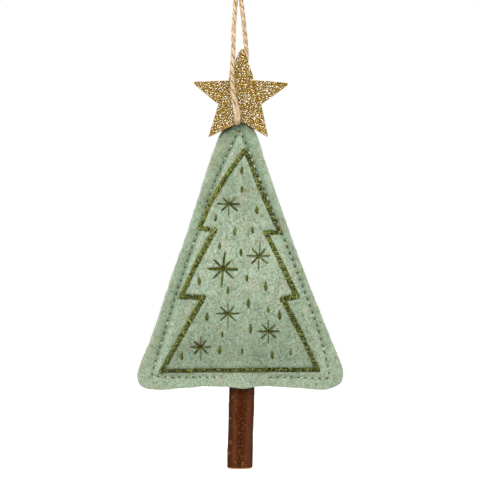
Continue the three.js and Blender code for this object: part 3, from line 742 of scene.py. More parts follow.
# Stations along the front strand, and how far apart and how thick its plies are there
SPLAY = ([11.4, 12.6, 15.0, 21, 30, 38], [1.1, 1.0, 1.1, 1.35, 1.2, 1.0],
         [0.48, 1.0, 1.5, 1.3, 1.15, 1.0])
UNTWISTED, TWIST_FADE, FRAYED = 18.0, 9.0, 26.0
RING_STEP, PLY_SIDES, PLY_WIDEN = 0.33, 12, 1.5
FIBRES_PER_MM, FIBRE_LENGTHS, FIBRE_RADII = 3.6, (2.5, 8.0), (0.025, 0.05)
# Where the strand's two tufts of fibres meet the felt
TUFT_XS, TUFT_FIBRES = (-1.2, -0.55), 90
# Half the knot's width, depth and height, to the middle of the twine wound round it
KNOT_HALVES, KNOT_SLANT = (2.75, 2.05, 2.1), 0.55


def twine_meshes(name, route, up, seed, splay=None, start_turn=0.0):
    """Two twisted plies along a route, with their loose fibres. Returns meshes and the line."""
    whole = smooth_route(route)
    long = length_of(whole)
    rings = max(12, int(long / RING_STEP))
    line = spaced(whole, rings)
    at = np.linspace(0, long, rings)
    along = unit(np.gradient(line, axis=0))
    out = unit(up - (along @ up)[:, None] * along)
    side = np.cross(along, out)
    apart, thick = np.full((2, rings), 0.25 * TWINE)
    pace = np.ones(rings)
    if splay:
        stations, spreads, thins = splay
        apart = apart * np.interp(at, stations, spreads)
        thick = thick * np.interp(at, stations, thins)
        pace = smooth((at - UNTWISTED) / TWIST_FADE)
    turn = start_turn - math.tau / TWINE_LAY * np.cumsum(pace) * (long / rings)
    ways = np.array([np.cos(turn + half)[:, None] * out + np.sin(turn + half)[:, None] * side
                     for half in (0, math.pi)])
    wobble = 1 + 0.07 * waves(at[:, None], 5.0, seed)
    tints = 0.15 + 0.3 * (1 - pace)[None]
    plies = lay_tubes(name, line + apart[:, None] * ways, thick * wobble, PLY_SIDES, ways, tints,
                      lobes=0.05, widen=PLY_WIDEN)
    stations = np.column_stack([line, out, side, turn, apart, thick])
    return [plies, loose_fibres(name, at, stations, seed, splay is not None)], line


def loose_fibres(name, at, stations, seed, frayed):
    """Fibres that follow the plies and lift off at their ends.

    stations hold the line, its two directions, and the plies' turn, spread and thickness."""
    rng = np.random.default_rng(seed)
    long = at[-1]
    count = int(long * FIBRES_PER_MM)
    spans = rng.uniform(*FIBRE_LENGTHS, count)
    begin = rng.uniform(0, long, count)
    share = np.linspace(0, 1, 7)
    where = np.clip(begin[:, None] + spans[:, None] * share, 0, long)
    start_angle = rng.uniform(0, math.tau, count)
    found = np.stack([np.interp(where, at, values) for values in stations.T], axis=-1)
    centre, out, side = found[..., 0:3], found[..., 3:6], found[..., 6:9]
    turn, apart, thick = found[..., 9], found[..., 10], found[..., 11]
    wound = turn - np.interp(begin, at, stations[:, 9])[:, None]
    fibre_turn = start_angle[:, None] + wound * rng.uniform(0.8, 1.15, (count, 1))
    lift = 0.03 + rng.exponential(0.12, (count, 1)) * np.abs(share * 2 - 1) ** 2
    strays = rng.random(count) < (np.where(begin < FRAYED, 0.6, 0.14) if frayed else 0.1)
    lift[strays] += rng.uniform(0.4, 1.0, (strays.sum(), 1)) * share ** 2
    near = np.abs(np.cos(fibre_turn - turn))
    reach = apart * near + thick * (1.1 - 0.1 * near) + lift
    way = np.cos(fibre_turn)[..., None] * out + np.sin(fibre_turn)[..., None] * side
    return lay_tubes(name, centre + reach[..., None] * way, rng.uniform(*FIBRE_RADII, (count, 1)), 4,
                     way, rng.uniform(0.25, 1, count))


def frayed_fibres():
    """The front strand's fibres where it goes in at the tip: two tufts and one long curly fibre."""
    rng = np.random.default_rng(15)
    count = TUFT_FIBRES
    tuft = np.where(rng.random(count) < 0.5, *TUFT_XS) + rng.normal(0, 0.14, count)
    begin = np.stack([rng.uniform(-2.3, 0.1, count), rng.uniform(-5.7, -4.8, count),
                      rng.uniform(-81.8, -77.5, count)], axis=1)
    end = np.stack([tuft, rng.uniform(-3.6, -2.7, count), rng.uniform(-84.0, -83.4, count)], axis=1)
    share = np.linspace(0, 1, 7)[None, :, None]
    middle = begin * [1, 1, 0.35] + end * [0, 0, 0.65] + rng.normal(0, 0.12, (count, 3))
    paths = ((1 - share) ** 2 * begin[:, None] + 2 * share * (1 - share) * middle[:, None]
             + share ** 2 * end[:, None])
    fringe = lay_tubes("fringe", paths, rng.uniform(0.04, 0.075, (count, 1)), 4, FRONT,
                       rng.uniform(0, 0.9, count))
    stray = lay_tubes("fringe", spaced(smooth_route(CURLY_FIBRE), 24)[None], 0.05, 5, FRONT, 1.0)
    return [fringe, stray]


def knot_meshes():
    """The knot: the two cords that run through it, and the doubled twine wound round them."""
    cores = [[FRONT_STRAND[-1], [-1.75, -2.2, -27.4], EYE[0]],
             [REAR_STRAND[-1], [0.15, -1.3, -27.4], EYE[-1]]]
    wide, deep, high = KNOT_HALVES
    share = np.linspace(0, 1, 30)
    turn = np.linspace(-2.6, math.tau * 2 + 0.9, 30)
    rise = np.linspace(-high, high, 30) + KNOT_SLANT * np.cos(turn)
    wrap = np.stack([wide * np.cos(turn), deep * np.sin(turn), rise], axis=1)
    wrap[:, :2] *= 0.45 + 0.55 * smooth(np.minimum(share, share[::-1]) * 9)[:, None]
    routes = [(cores[0], RIGHT, 20), (cores[1], RIGHT, 21), (wrap + KNOT, UP, 24),
              (np.array(OVER_KNOT) + KNOT, RIGHT, 25)]
    return [mesh for route, up, seed in routes for mesh in twine_meshes("knot", route, up, seed)[0]]


front, front_line = twine_meshes("front", FRONT_STRAND, RIGHT, 11, splay=SPLAY, start_turn=0.2)
rear, rear_line = twine_meshes("rear", REAR_STRAND, RIGHT, 12, start_turn=1.4)
eye, eye_line = twine_meshes("eye", EYE_IN_KNOT, FRONT, 13)
front_strand = dress("front_strand_twine", joined("front", front + frayed_fibres()),
                     twine_finish, "twine_front_strand")
rear_strand = dress("rear_strand_twine", joined("rear", rear), twine_finish,
                    "twine_rear_strand")
eye_twine = dress("hanging_eye_twine", joined("eye", eye), twine_finish,
                  "twine_hanging_eye", body="eye")
knot_twine = dress("knot_twine", joined("knot", knot_meshes()), twine_finish,
                   "twine_knot", body="knot")

# Outlines of the tree, from the picture

EDGE = seen_all([
    [238.4, 122], [248, 124.4], [254.1, 129.4], [265.7, 162.9], [288.9, 229.8],
    [303.5, 269.6], [326.9, 328.8], [338.2, 356.3], [342.9, 368.6], [343.3, 375.7],
    [340.2, 383.9], [332, 388.5], [323.9, 389.8], [291.2, 387.8], [263.7, 386.5],
    [241.9, 388.1], [211.8, 386.4], [181.2, 388.5], [150.6, 389.8], [140.4, 385.9],
    [136.8, 377.8], [139.4, 365.5], [152.7, 332.9], [169, 282.9], [184.3, 240],
    [198.6, 195.9], [213.75, 149.5], [222.7, 129.4], [229.2, 124.4]])
SEAM = seen_all([
    [270.8, 377.6], [298.4, 377.6], [323.4, 378.8], [328.5, 378.3], [329, 372.7],
    [326.4, 359.4], [318.3, 329.8], [308.6, 302.2], [288.7, 250.7], [271, 206.6],
    [257.7, 174.5], [247.4, 147.7], [243.4, 138.3], [239.4, 131], [236.3, 135.7],
    [230.7, 147.2], [212.9, 186.5], [196.8, 234.3], [177.1, 291.5], [161.3, 343.1],
    [154, 367], [152.1, 374.6], [158.3, 376.9], [190, 377.4], [220.5, 377.6]])
BAND = seen_all([
    [244.3, 151], [247.6, 155.4], [259.6, 187.7], [272.3, 217], [279.4, 232.3], [266, 232.7],
    [281.8, 264.6], [296.7, 296.6], [282.6, 298.7], [301, 334], [317.6, 369.8], [240, 369.8],
    [161.6, 371], [182.5, 334.1], [203.3, 297.4], [181.1, 296.4], [198.2, 259.9], [214.6, 230.4],
    [199.7, 227.8], [211.2, 201], [227.6, 174.3]])
# Half the width of each straight run of the embroidered outline
BAND_HALVES = [1.0, 0.84, 0.86, 0.72, 1.06, 0.95, 1.2, 1.3, 1.06, 0.95, 0.8, 0.74, 1.12, 1.16, 1.16, 1.14,
               1.18, 1.02, 0.9, 1.16, 1.06]
# Each starburst's heart and the ends of its eight rays
BURSTS = [
    [[228.7, 203.8], [229, 197], [235.6, 197.8], [240.8, 204.3], [238, 211.2],
     [228.7, 217.6], [221.2, 210.8], [216.2, 203.6], [222.2, 196.9]],
    [[258.7, 255.8], [260.2, 241.5], [266, 248.3], [270.2, 255.8], [268, 263.8],
     [258.5, 270.3], [251.2, 263.8], [246.2, 255.7], [251.8, 248.3]],
    [[223, 268.5], [225, 251.8], [231.4, 260.2], [238, 269.3], [234.1, 278.8],
     [221.4, 287.8], [213.3, 278.7], [207.6, 268.8], [213.7, 259.4]],
    [[227.9, 313.3], [227.9, 302.3], [234.1, 306.3], [239.7, 313.3], [236.1, 320.6],
     [227.9, 327.9], [220.2, 320.6], [216.1, 313.3], [220.5, 306.8]],
    [[200.8, 346.7], [200.8, 335.9], [206.2, 340.3], [211.8, 346.7], [209, 354.1],
     [200.8, 359.9], [193.5, 354.3], [189.8, 346.7], [194, 341.3]],
    [[268.2, 331], [268.2, 319], [275.2, 324], [279.8, 331], [276.7, 338.3],
     [268.2, 344], [260.9, 338.7], [256.6, 331], [261.9, 324]]]
BIG_BURST = 3
# Each seed stitch's middle and its length
SEEDS = [
    [241.8, 170.4, 7], [242, 189.2, 6], [256.8, 210.2, 8], [215.7, 218.2, 6],
    [234.8, 231.6, 8.5], [252.5, 230.3, 5.8], [219.5, 246, 6.5], [240.9, 252.4, 7],
    [246.9, 278.3, 6.6], [199.3, 281.3, 8], [228, 290.4, 7], [265.7, 286.1, 9.2],
    [248.4, 302.8, 9.2], [268.1, 309.4, 5.6], [207, 317, 8], [279.5, 315, 8.7],
    [250.4, 328.6, 9.2], [222.3, 334.4, 5], [219.7, 349.7, 7.7], [181.7, 355.8, 8],
    [242.2, 350.7, 5], [272.3, 354.8, 8.2], [290.5, 352.2, 5.6]]
STAR = seen_all([
    [241.2, 49.6], [243, 48.9], [244.8, 50], [246.6, 56.5], [248.6, 63.5], [251, 70],
    [252.8, 75], [253.6, 80.3], [270, 81.4], [287.6, 83.1], [288.2, 84], [287.4, 85.6],
    [272, 97], [261.4, 104.6], [264.4, 119.5], [267.8, 135.4], [267.6, 136.8], [266.4, 136.7],
    [241.5, 121.3], [209.6, 136.9], [208.6, 136.9], [208.6, 135.8], [218.4, 104.7],
    [195, 85], [193.4, 83], [193.8, 81.9], [228.2, 80.6], [234.6, 62.5], [237, 56], [239.6, 51.2]])
# Spots of bare wood on the twig's front, each with its size
CHIPS = [(230.3, 442.0, 0.8), (228.9, 452.8, 0.8), (239.5, 451.5, 0.5), (235.4, 461.7, 0.5),
         (242.6, 463.5, 1.0), (230.0, 418.4, 0.6), (232.5, 396.4, 0.5), (250.7, 396.0, 0.4)]
MIDDLE = seen(240.05, 290)
TRUNK_X, TRUNK_END_X, ENTRY_X = (seen(u, 0)[0] for u in (241.9, 239.6, 239.4))
STRAND_ENTRY = np.array([-1.05, -83.4])

seam_loop, seam_line = smooth_loop(SEAM), smooth_route(SEAM)
SEAM_TOP_Z = seam_loop[:, 1].max()
SEAM_LONG = length_of(seam_line)
STITCHES = round(SEAM_LONG / STITCH)

seam_angles = np.arctan2(seam_loop[:, 1] - MIDDLE[1], seam_loop[:, 0] - MIDDLE[0])
seam_order = np.argsort(seam_angles)
seam_reaches = np.linalg.norm(seam_loop - MIDDLE, axis=1)


def seam_reach(flat):
    """How far the seam lies from the tree's middle in the direction of flat places."""
    angle = np.arctan2(flat[..., 1] - MIDDLE[1], flat[..., 0] - MIDDLE[0])
    return np.interp(angle, seam_angles[seam_order], seam_reaches[seam_order], period=math.tau)


# Felt

# Cloth: a coarse sheet of the felt inside the seam is blown up from a flatter crown than the
# CAD's, and how far it swells goes into the fine felt.
CLOTH_COLUMNS, CLOTH_SCALE, CLOTH_FRAMES, SWELL_CAP, START_FULLNESS = 112, 20, 20, 0.75, 0.84
CLOTH_REACHES = np.concatenate([np.linspace(0, 0.9, 13), [0.96, 1.0, 1.3]])
COLUMNS = 560


def crown_at(flat):
    """How far the inside of a felt stands from the middle plane before it is blown up."""
    share = np.linalg.norm(flat - MIDDLE, axis=-1) / seam_reach(flat)
    x, z = flat[..., 0], flat[..., 1]
    crown = CROWN * START_FULLNESS * (1 - np.minimum(share, 1) ** 2.6)
    trunk = ((TRUNK_RADIUS + TRUNK_CLEARANCE) * (1 - smooth(np.abs(x - TRUNK_X) / TRUNK_FLARE))
             * (1 - smooth((z - TRUNK_TOP_Z) / TRUNK_FADE)))
    beside = (np.abs(x - ENTRY_X) - TAIL_SPREAD / 2) / (TAIL_FLARE - TAIL_SPREAD / 2)
    tail = TAIL_DEPTH * (1 - smooth(beside)) * (1 - smooth((TAIL_END_Z - z) / TAIL_FADE))
    return LAYER_GAP / 2 + (crown ** 4 + trunk ** 4 + tail ** 4) ** 0.25


edge_places = spaced(closed(smooth_loop(EDGE)), COLUMNS + 1)[:-1]
EDGE_LOOP, BAND_LOOP, STAR_LOOP = closed(edge_places)[::4], closed(BAND), closed(STAR)
seam_places = MIDDLE + (edge_places - MIDDLE) * (
    seam_reach(edge_places) / np.linalg.norm(edge_places - MIDDLE, axis=1))[:, None]


def flat_at(column, reach):
    """Flat places by column and reach: 0 in the middle, 1 on the seam, 2 on the edge."""
    column = column % COLUMNS
    seam, edge = seam_places[column], edge_places[column]
    inside = MIDDLE + (seam - MIDDLE) * np.minimum(reach, 1)[:, None]
    return inside + (edge - seam) * np.maximum(reach - 1, 0)[:, None]


def coarse_sheet(seed):
    """The coarse sheet, made CLOTH_SCALE times as large, with each vertex's row and column."""
    step = COLUMNS // CLOTH_COLUMNS

    def sheet_place(column, row):
        flat = flat_at(column * step, CLOTH_REACHES[row])
        rise = crown_at(flat) + 0.05 * waves(flat, 9.0, seed)
        places = np.stack([flat[:, 0], -rise, flat[:, 1]], axis=1) * CLOTH_SCALE
        return places, {"row": row, "column": column % CLOTH_COLUMNS}

    mesh = grid_mesh("blown_sheet", CLOTH_COLUMNS, len(CLOTH_REACHES), sheet_place)
    sheet = bpy.data.objects.new("blown_sheet", mesh)
    bpy.context.scene.collection.objects.link(sheet)
    row, column = np.zeros((2, len(mesh.vertices)))
    mesh.attributes["row"].data.foreach_get("value", row)
    mesh.attributes["column"].data.foreach_get("value", column)
    return sheet, row.astype(int), column.astype(int)


def blow_up(sheet, row):
    """Pins a sheet from the seam outwards, more loosely just inside it, and puts pressure in it."""
    pinned = sheet.vertex_groups.new(name="sewn")
    for held, grip in ((CLOTH_REACHES[row] >= 1, 1.0), (row == len(CLOTH_REACHES) - 4, 0.5)):
        pinned.add([int(i) for i in np.flatnonzero(held)], grip, "REPLACE")
    cloth = sheet.modifiers.new("Cloth", "CLOTH")
    setting = cloth.settings
    setting.quality, setting.mass = 6, 0.3
    setting.tension_stiffness = setting.compression_stiffness = setting.shear_stiffness = 12
    setting.bending_stiffness = 1.2
    setting.vertex_group_mass = "sewn"
    setting.use_pressure, setting.uniform_pressure_force = True, 4
    setting.effector_weights.gravity = 0
    for number in range(1, CLOTH_FRAMES + 1):
        bpy.context.scene.frame_set(number)


def swollen(seed):
    """How far the blown sheet moved out, in mm, by reach and column."""
    sheet, row, column = coarse_sheet(seed)
    mesh = sheet.data
    before, after = np.zeros((2, len(mesh.vertices) * 3))
    mesh.vertices.foreach_get("co", before)
    blow_up(sheet, row)
    evaluated = sheet.evaluated_get(bpy.context.evaluated_depsgraph_get())
    evaluated.data.vertices.foreach_get("co", after)
    moved = (before - after).reshape(-1, 3)[:, 1] / MM / CLOTH_SCALE
    bpy.context.scene.frame_set(1)
    swell = np.zeros((len(CLOTH_REACHES), CLOTH_COLUMNS))
    swell[row, column] = moved
    swell[0] = moved[row == 0].mean()
    bpy.data.objects.remove(sheet)
    bpy.data.meshes.remove(mesh)
    return np.clip(swell, 0, SWELL_CAP)


def swell_table(side):
    """The blown sheet's swell."""
    return swollen(40 + side)


def swell_at(table, column, reach):
    """The swell between the coarse sheet's places."""
    c = (column % COLUMNS) / (COLUMNS // CLOTH_COLUMNS)
    left = np.floor(c).astype(int)
    share = smooth(c - left)
    fine_rows = np.interp(reach, CLOTH_REACHES, np.arange(len(CLOTH_REACHES)))
    low = np.minimum(np.floor(fine_rows).astype(int), len(CLOTH_REACHES) - 2)
    up = fine_rows - low
    a, b = left % CLOTH_COLUMNS, (left + 1) % CLOTH_COLUMNS
    lower, upper = (table[row, a] * (1 - share) + table[row, b] * share for row in (low, low + 1))
    return lower * (1 - up) + upper * up


def reach_rows():
    """Each ring of a felt: how far out it is, and how deep in the felt, 0 outside to 1 inside."""
    outer = 1 - (1 - np.linspace(0, 1, 47)) ** 1.25
    border = 1 + np.array([0.05, 0.11, 0.18, 0.27, 0.38, 0.5, 0.62, 0.74, 0.84, 0.91])
    rows = [(r, 0.0) for r in [*outer, *border]]
    rows += [(1.955, 0.06), (1.985, 0.2), (2.0, 0.5), (1.985, 0.8), (1.955, 0.94)]
    rows += [(r, 1.0) for r in (1.85, 1.5, 1.0, 0.93, 0.82, 0.66, 0.48, 0.3, 0.14, 0.0)]
    return np.array(rows)


ROWS = reach_rows()

# Dents in the felt, each how deep and how wide: at a stitch's hole, along the seam's crease, under
# the embroidered outline, and under a ray and a seed stitch. A lip stands up beside the outline.
HOLE, CREASE, CHANNEL, RAY_DENT, SEED_DENT = (0.3, 0.42), (0.14, 0.45), (0.42, 1.15), (0.12, 0.45), (0.2, 0.6)
CHANNEL_LIP, LIP_AWAY, LIP_WIDE = 0.16, 1.9, 0.8
PUCKER, PUCKER_AWAY, PUCKER_WIDE = 0.1, 1.0, 0.8
# The groove on the seam's inner and outer side, and how far out its bottom lies left and right
GROOVE_WIDTHS, GROOVE_DRIFTS = (1.7 * GROOVE, 1.25 * GROOVE), (0.42, 0.12)
# How far the felt flares out at its edge, and how far the cut is drawn back and rough
EDGE_FLARE, CUT_BACK, CUT_ROUGH = 0.5, 0.14, 0.13
# How high and how wide the soft puffs of the felt's face and its grain are
PUFF, PUFF_WIDE, GRAIN, GRAIN_WIDE = 0.09, 11.0, 0.035, 2.6
# A distance in mm at which nothing shows any more
FAR_AWAY = 9.0


def dent(away, shape):
    """How deep a dent is at a distance from its middle: shape is its depth and its width."""
    deep, wide = shape
    return deep * np.exp(-(away / wide) ** 2)


def pressed_in(flat, reach, channel):
    """How far threads and the strand's entry press into the front felt's face."""
    deep, wide = CHANNEL
    depth = deep * (1 - smooth(channel / wide)) * (reach < 1)
    depth -= dent(channel - LIP_AWAY, (CHANNEL_LIP, LIP_WIDE)) * (reach < 0.98)
    for burst in BURSTS:
        heart, *tips = seen_all(burst)
        for tip in tips:
            ray, _ = to_line(flat, np.array([heart, tip]))
            depth += dent(ray, RAY_DENT)
    for u, v, long in SEEDS:
        ray, _ = to_line(flat, seen([u, u], [v - long / 2, v + long / 2]))
        depth += dent(ray, SEED_DENT)
    return depth + dent(np.linalg.norm(flat - STRAND_ENTRY, axis=1), (0.5, 1.0))


def seam_pull(away, at_stitch, drift, inward, on_side, to_right):
    """How far the seam presses the felt together, 0 to 1, and how deep its creases and holes are."""
    from_groove = np.abs(np.where(inward, -away, away) + drift)
    sewn = 1 - smooth(from_groove / np.where(inward, *GROOVE_WIDTHS))
    hole = dent(np.hypot(np.abs((at_stitch + 0.5) % 1 - 0.5) * STITCH, away), HOLE)
    crease = dent(from_groove, CREASE) * (0.3 + 0.7 * on_side) * (1 - 0.4 * to_right)
    pucker = np.cos(at_stitch * math.tau) * dent(away - PUCKER_AWAY, (PUCKER, PUCKER_WIDE))
    return sewn, hole + crease + pucker


def felt_marks(flat, reach, depth, away, gap, on_side, to_right, side):
    """The felt's marks that colour it: painted shade on its border slope and in its crease, its middle, its
    cut edge, paler with a painted highlight, and the star's painted shadow with stains.
    """
    x, inward = flat[:, 0], reach < 1
    rim, _ = to_line(flat, EDGE_LOOP)
    # Painted shade on the border's slope towards the seam, less to the right and at the foot
    slope = 0.4 * (1 - np.clip(away / 3.8, 0, 1)) * on_side * (1 - 0.8 * to_right)
    border = ((0.09 - 0.06 * on_side) * smooth((rim - 0.3) / 0.8) + slope) * (reach > 1)
    middle = np.where(gap, smooth((0.97 - reach) / 0.05), smooth((away - 1.8) / 2.4))
    below_star, _ = to_line(flat, STAR_LOOP)
    in_front = (side < 0) * (reach < 2)
    # Painted shadow just under the star, narrower to the right, and brownish stains with more painted shadow
    # over the tip, weaker to the right
    shaded = 1 - smooth(below_star / np.where(x > 1.5, 1.1, 1.9))
    stain_and_star_shadow = (0.9 - 0.5 * smooth((x - 1) / 3)) * (1 - smooth(below_star / 6.0))
    return {
        "seam_away": np.where(gap | (depth > 0.5), FAR_AWAY, away * np.where(inward, -1, 1)),
        "border_shade": border * (reach < 1.99),
        "inner": middle * inward * (depth < 0.5),
        "side_seam": (0.1 + 0.9 * on_side) * (1 - 0.5 * to_right),
        # Paler cut fibres at the edge, with a painted highlight where the edge rolls over
        "cut_edge_rim_light": smooth((reach - 1.86) / 0.12),
        "shaded": 0.95 * shaded * in_front,
        "stain_and_star_shadow": stain_and_star_shadow * in_front}


def felt_mesh(name, side):
    """One felt: side is -1 in front and 1 behind. It has its edge, its seam and its dents."""
    table = swell_table(side)
    sampled_seam = spaced(seam_line, 240)

    def place_at(column, row):
        reach, depth = ROWS[row, 0], ROWS[row, 1]
        edge = edge_places[column % COLUMNS]
        rough = (waves(edge, 5.0, 60 + side) * CUT_ROUGH - CUT_BACK) * (reach > 1.8)
        flat = flat_at(column, reach) + unit(edge - MIDDLE) * rough[:, None]
        x, z = flat[:, 0], flat[:, 1]
        inward = reach < 1
        inner = crown_at(flat) + swell_at(table, column, reach) * inward
        away, along = to_line(flat, sampled_seam)
        at_stitch = along / SEAM_LONG * STITCHES
        drift = np.where(x < 0, *GROOVE_DRIFTS)
        gap = (x > SEAM[-1, 0] + 1) & (x < SEAM[0, 0] - 1) & (z < FOOT_Z + 14)
        on_side, to_right = smooth((z - (FOOT_Z + 8)) / 9), smooth((x - 4) / 30)

        sewn, dents = seam_pull(away, at_stitch, drift, inward, on_side, to_right)
        tip = smooth((z - (SEAM_TOP_Z - 3)) / 3)
        thick = FELT - (FELT - SEWN) * np.maximum(sewn * ~gap, tip * (reach >= 0.9))
        outer = inner + thick - dents * ~gap
        outer += EDGE_FLARE * np.clip((reach - 1.12) / 0.86, 0, 1) * (reach > 1)
        outer += PUFF * waves(flat, PUFF_WIDE, 70 + side) * (reach < 0.97)
        outer += GRAIN * waves(flat, GRAIN_WIDE, 80 + side)
        channel = to_line(flat, BAND_LOOP)[0] if side < 0 else np.full(len(flat), FAR_AWAY)
        if side < 0:
            outer -= pressed_in(flat, reach, channel)
        outer = np.where(depth > 0, np.minimum(outer, inner + FELT + 0.4), outer)
        level = inner + (outer - inner) * (1 - depth)

        marks = felt_marks(flat, reach, depth, away, gap, on_side, to_right, side)
        marks.update(seam_along=at_stitch, band_away=channel, groove_drift=drift)
        return np.stack([x, side * level, z], axis=1), marks

    return grid_mesh(name, COLUMNS, len(ROWS), place_at)


felt_front = dress("felt_front", felt_mesh("felt_front", -1), front_felt_finish,
                   "front_felt")
felt_back = dress("felt_back", felt_mesh("felt_back", 1), back_felt_finish, "back_felt")


def filling_mesh():
    """The fibre fill: the CAD filling's form, cut fine and made lumpy."""
    bm = softened("fibre_filling", 3, 2, 0.5)
    bm.normal_update()
    places = np.array([v.co for v in bm.verts]) / MM
    lumps = waves(places, 3.0, 90) * 0.12 - 0.12
    for vertex, lump in zip(bm.verts, lumps):
        vertex.co += vertex.normal * float(lump) * MM
    return mesh_from(bm, "filling")


filling = dress("filling_pad", filling_mesh(), filling_finish, "fibre_filling")

# Threads on the felt

# Radii of the threads, and how the outline's threads lie on its runs
THREAD_SIDES, SEAM_THREAD, OLIVE_THREAD = 6, 0.25, 0.22
BAND_THREAD_STEP, BAND_OVERHANG, BAND_TOOTH, BAND_LEAN = 0.42, 0.55, 0.26, 0.5

surfaces = {side: BVHTree.FromPolygons([v.co.copy() for v in felt.data.vertices],
                                       [tuple(p.vertices) for p in felt.data.polygons])
            for side, felt in ((-1, felt_front), (1, felt_back))}


def on_felt(flat, side):
    """How far out in Y a felt's outside stands at flat places, in mm."""
    out = []
    for x, z in flat.reshape(-1, 2):
        hit = surfaces[side].ray_cast((x * MM, side * 0.05, z * MM), (0, -side, 0))[0]
        out.append(hit.y / MM if hit is not None else side * 1.6)
    return np.array(out).reshape(flat.shape[:-1])


def stitch_threads(name, starts, ends, lifts, radii, tints, points=7, side=-1, bury=0.25):
    """Threads that come up through the felt at one end and go down at the other."""
    share = np.linspace(0, 1, points)
    flat = starts[:, None] + (ends - starts)[:, None] * share[None, :, None]
    base = on_felt(flat, side)
    straight = base[:, 1:2] + (base[:, -2:-1] - base[:, 1:2]) * share[None]
    base[:, 1:-1] = side * np.maximum(side * base[:, 1:-1], side * straight[:, 1:-1])
    arch = np.sin(np.pi * share) ** 0.6
    y = base + side * (np.asarray(lifts)[:, None] * arch - bury * (1 - arch))
    paths = np.stack([flat[..., 0], y, flat[..., 1]], axis=-1)
    radii = np.broadcast_to(np.asarray(radii, float).reshape(-1, 1), (len(starts), points))
    return lay_tubes(name, paths, radii, THREAD_SIDES, (0, side, 0), tints)


def across_of(way):
    return np.stack([-way[..., 1], way[..., 0]], axis=-1)


def seam_stitches(side):
    """The seam's threads on one face. Those that catch the light stand higher, and their pale tint is a
    painted glint.
    """
    rng = np.random.default_rng(100 + side)
    holes = spaced(seam_line, STITCHES + 1)
    a, b = holes[:-1], holes[1:]
    count = len(a)
    way = unit(b - a)
    skew = across_of(way) * rng.normal(0, 0.06, (count, 1))
    starts = a + way * rng.uniform(0.7, 1.0, (count, 1)) + skew
    ends = b - way * rng.uniform(0.7, 1.2, (count, 1)) - skew
    on_foot = np.abs(way[:, 1]) < 0.2
    glints = np.where(on_foot, np.where(a[:, 0] > 10, 0.9, 0.45), 0.24)
    beside_outline = (a[:, 0] > 0) & (np.abs(a[:, 1] + 108) < 9)
    # Pale tints on the bright stitches are a painted glint
    bright = rng.random(count) < np.where(beside_outline, 0.55, glints)
    pale = np.where(bright, rng.uniform(0.75, 1, count), rng.uniform(0, 0.5, count))
    lifts = np.where(bright, rng.uniform(0.35, 0.6, count), rng.uniform(0.1, 0.35, count))
    return stitch_threads("seam", starts, ends, lifts, SEAM_THREAD, pale, side=side, bury=0.45)


for side, place in ((-1, "front"), (1, "back")):
    dress(f"seam_stitches_{place}", seam_stitches(side), seam_finish,
          f"seam_thread_{place}")


def band_stitches():
    """The embroidered outline: threads laid side by side across each straight run."""
    rng = np.random.default_rng(120)
    starts, ends, tints, lifts = [], [], [], []
    for i, (a, b) in enumerate(zip(BAND_LOOP, BAND_LOOP[1:])):
        span = math.dist(a, b)
        way = (b - a) / span
        across = across_of(way)
        foot = abs(way[1]) < 0.1 and span > 20
        # Painted light: each thread lighter towards the run's outer side and darker towards its inner side,
        # most on the left runs
        lit_side_gain = 0.5 if way[1] > 0.5 else 0.1
        upper_right = way[1] < -0.5 and a[1] > -125
        count = max(2, round((span + 2 * BAND_OVERHANG) / BAND_THREAD_STEP))
        at = np.linspace(-BAND_OVERHANG, span + BAND_OVERHANG, count) + rng.normal(0, 0.05, count)
        wave = 0.1 * np.sin(at / 2.1 + i) * foot
        teeth = np.where(np.arange(count) % 2, 1.0, -1.0)
        teeth = (teeth * (0.75 + 0.25 * waves(at[:, None], 4.0, 130 + i))
                 + 0.35 * waves(at[:, None], 1.9, 150 + i))
        half = (BAND_HALVES[i] + BAND_TOOTH * teeth + rng.normal(0, 0.08, count))[:, None]
        lean = (BAND_LEAN + rng.normal(0, 0.08, count))[:, None]
        heart = a + way * at[:, None] + across * wave[:, None]
        starts.append(heart - across * half - way * lean * half)
        ends.append(heart + across * half + way * lean * half)
        low_down = smooth((-128 - a[1] - way[1] * at) / 30)
        base = 0.4 - 0.12 * foot - 0.12 * upper_right - 0.14 * low_down
        tint = base + 0.36 * teeth + rng.normal(0, 0.16, count)
        # Painted light across the run: outer thread ends lighter, inner ends darker
        tints.append(np.clip(tint[:, None] + lit_side_gain * np.linspace(-0.5, 0.6, 7), 0, 1))
        lifts.append(0.44 + 0.12 * teeth + rng.normal(0, 0.06, count))
    return stitch_threads("band", np.vstack(starts), np.vstack(ends), np.concatenate(lifts),
                          OLIVE_THREAD, np.vstack(tints), bury=0.35)


dress("tree_outline_threads", band_stitches(), olive_finish,
      "tree_outline_embroidery")


def few_threads(name, threads, **settings):
    """Threads from a list: each has a start, an end, a lift, a radius and a tint."""
    return stitch_threads(name, *(np.array(part) for part in zip(*threads)), **settings)


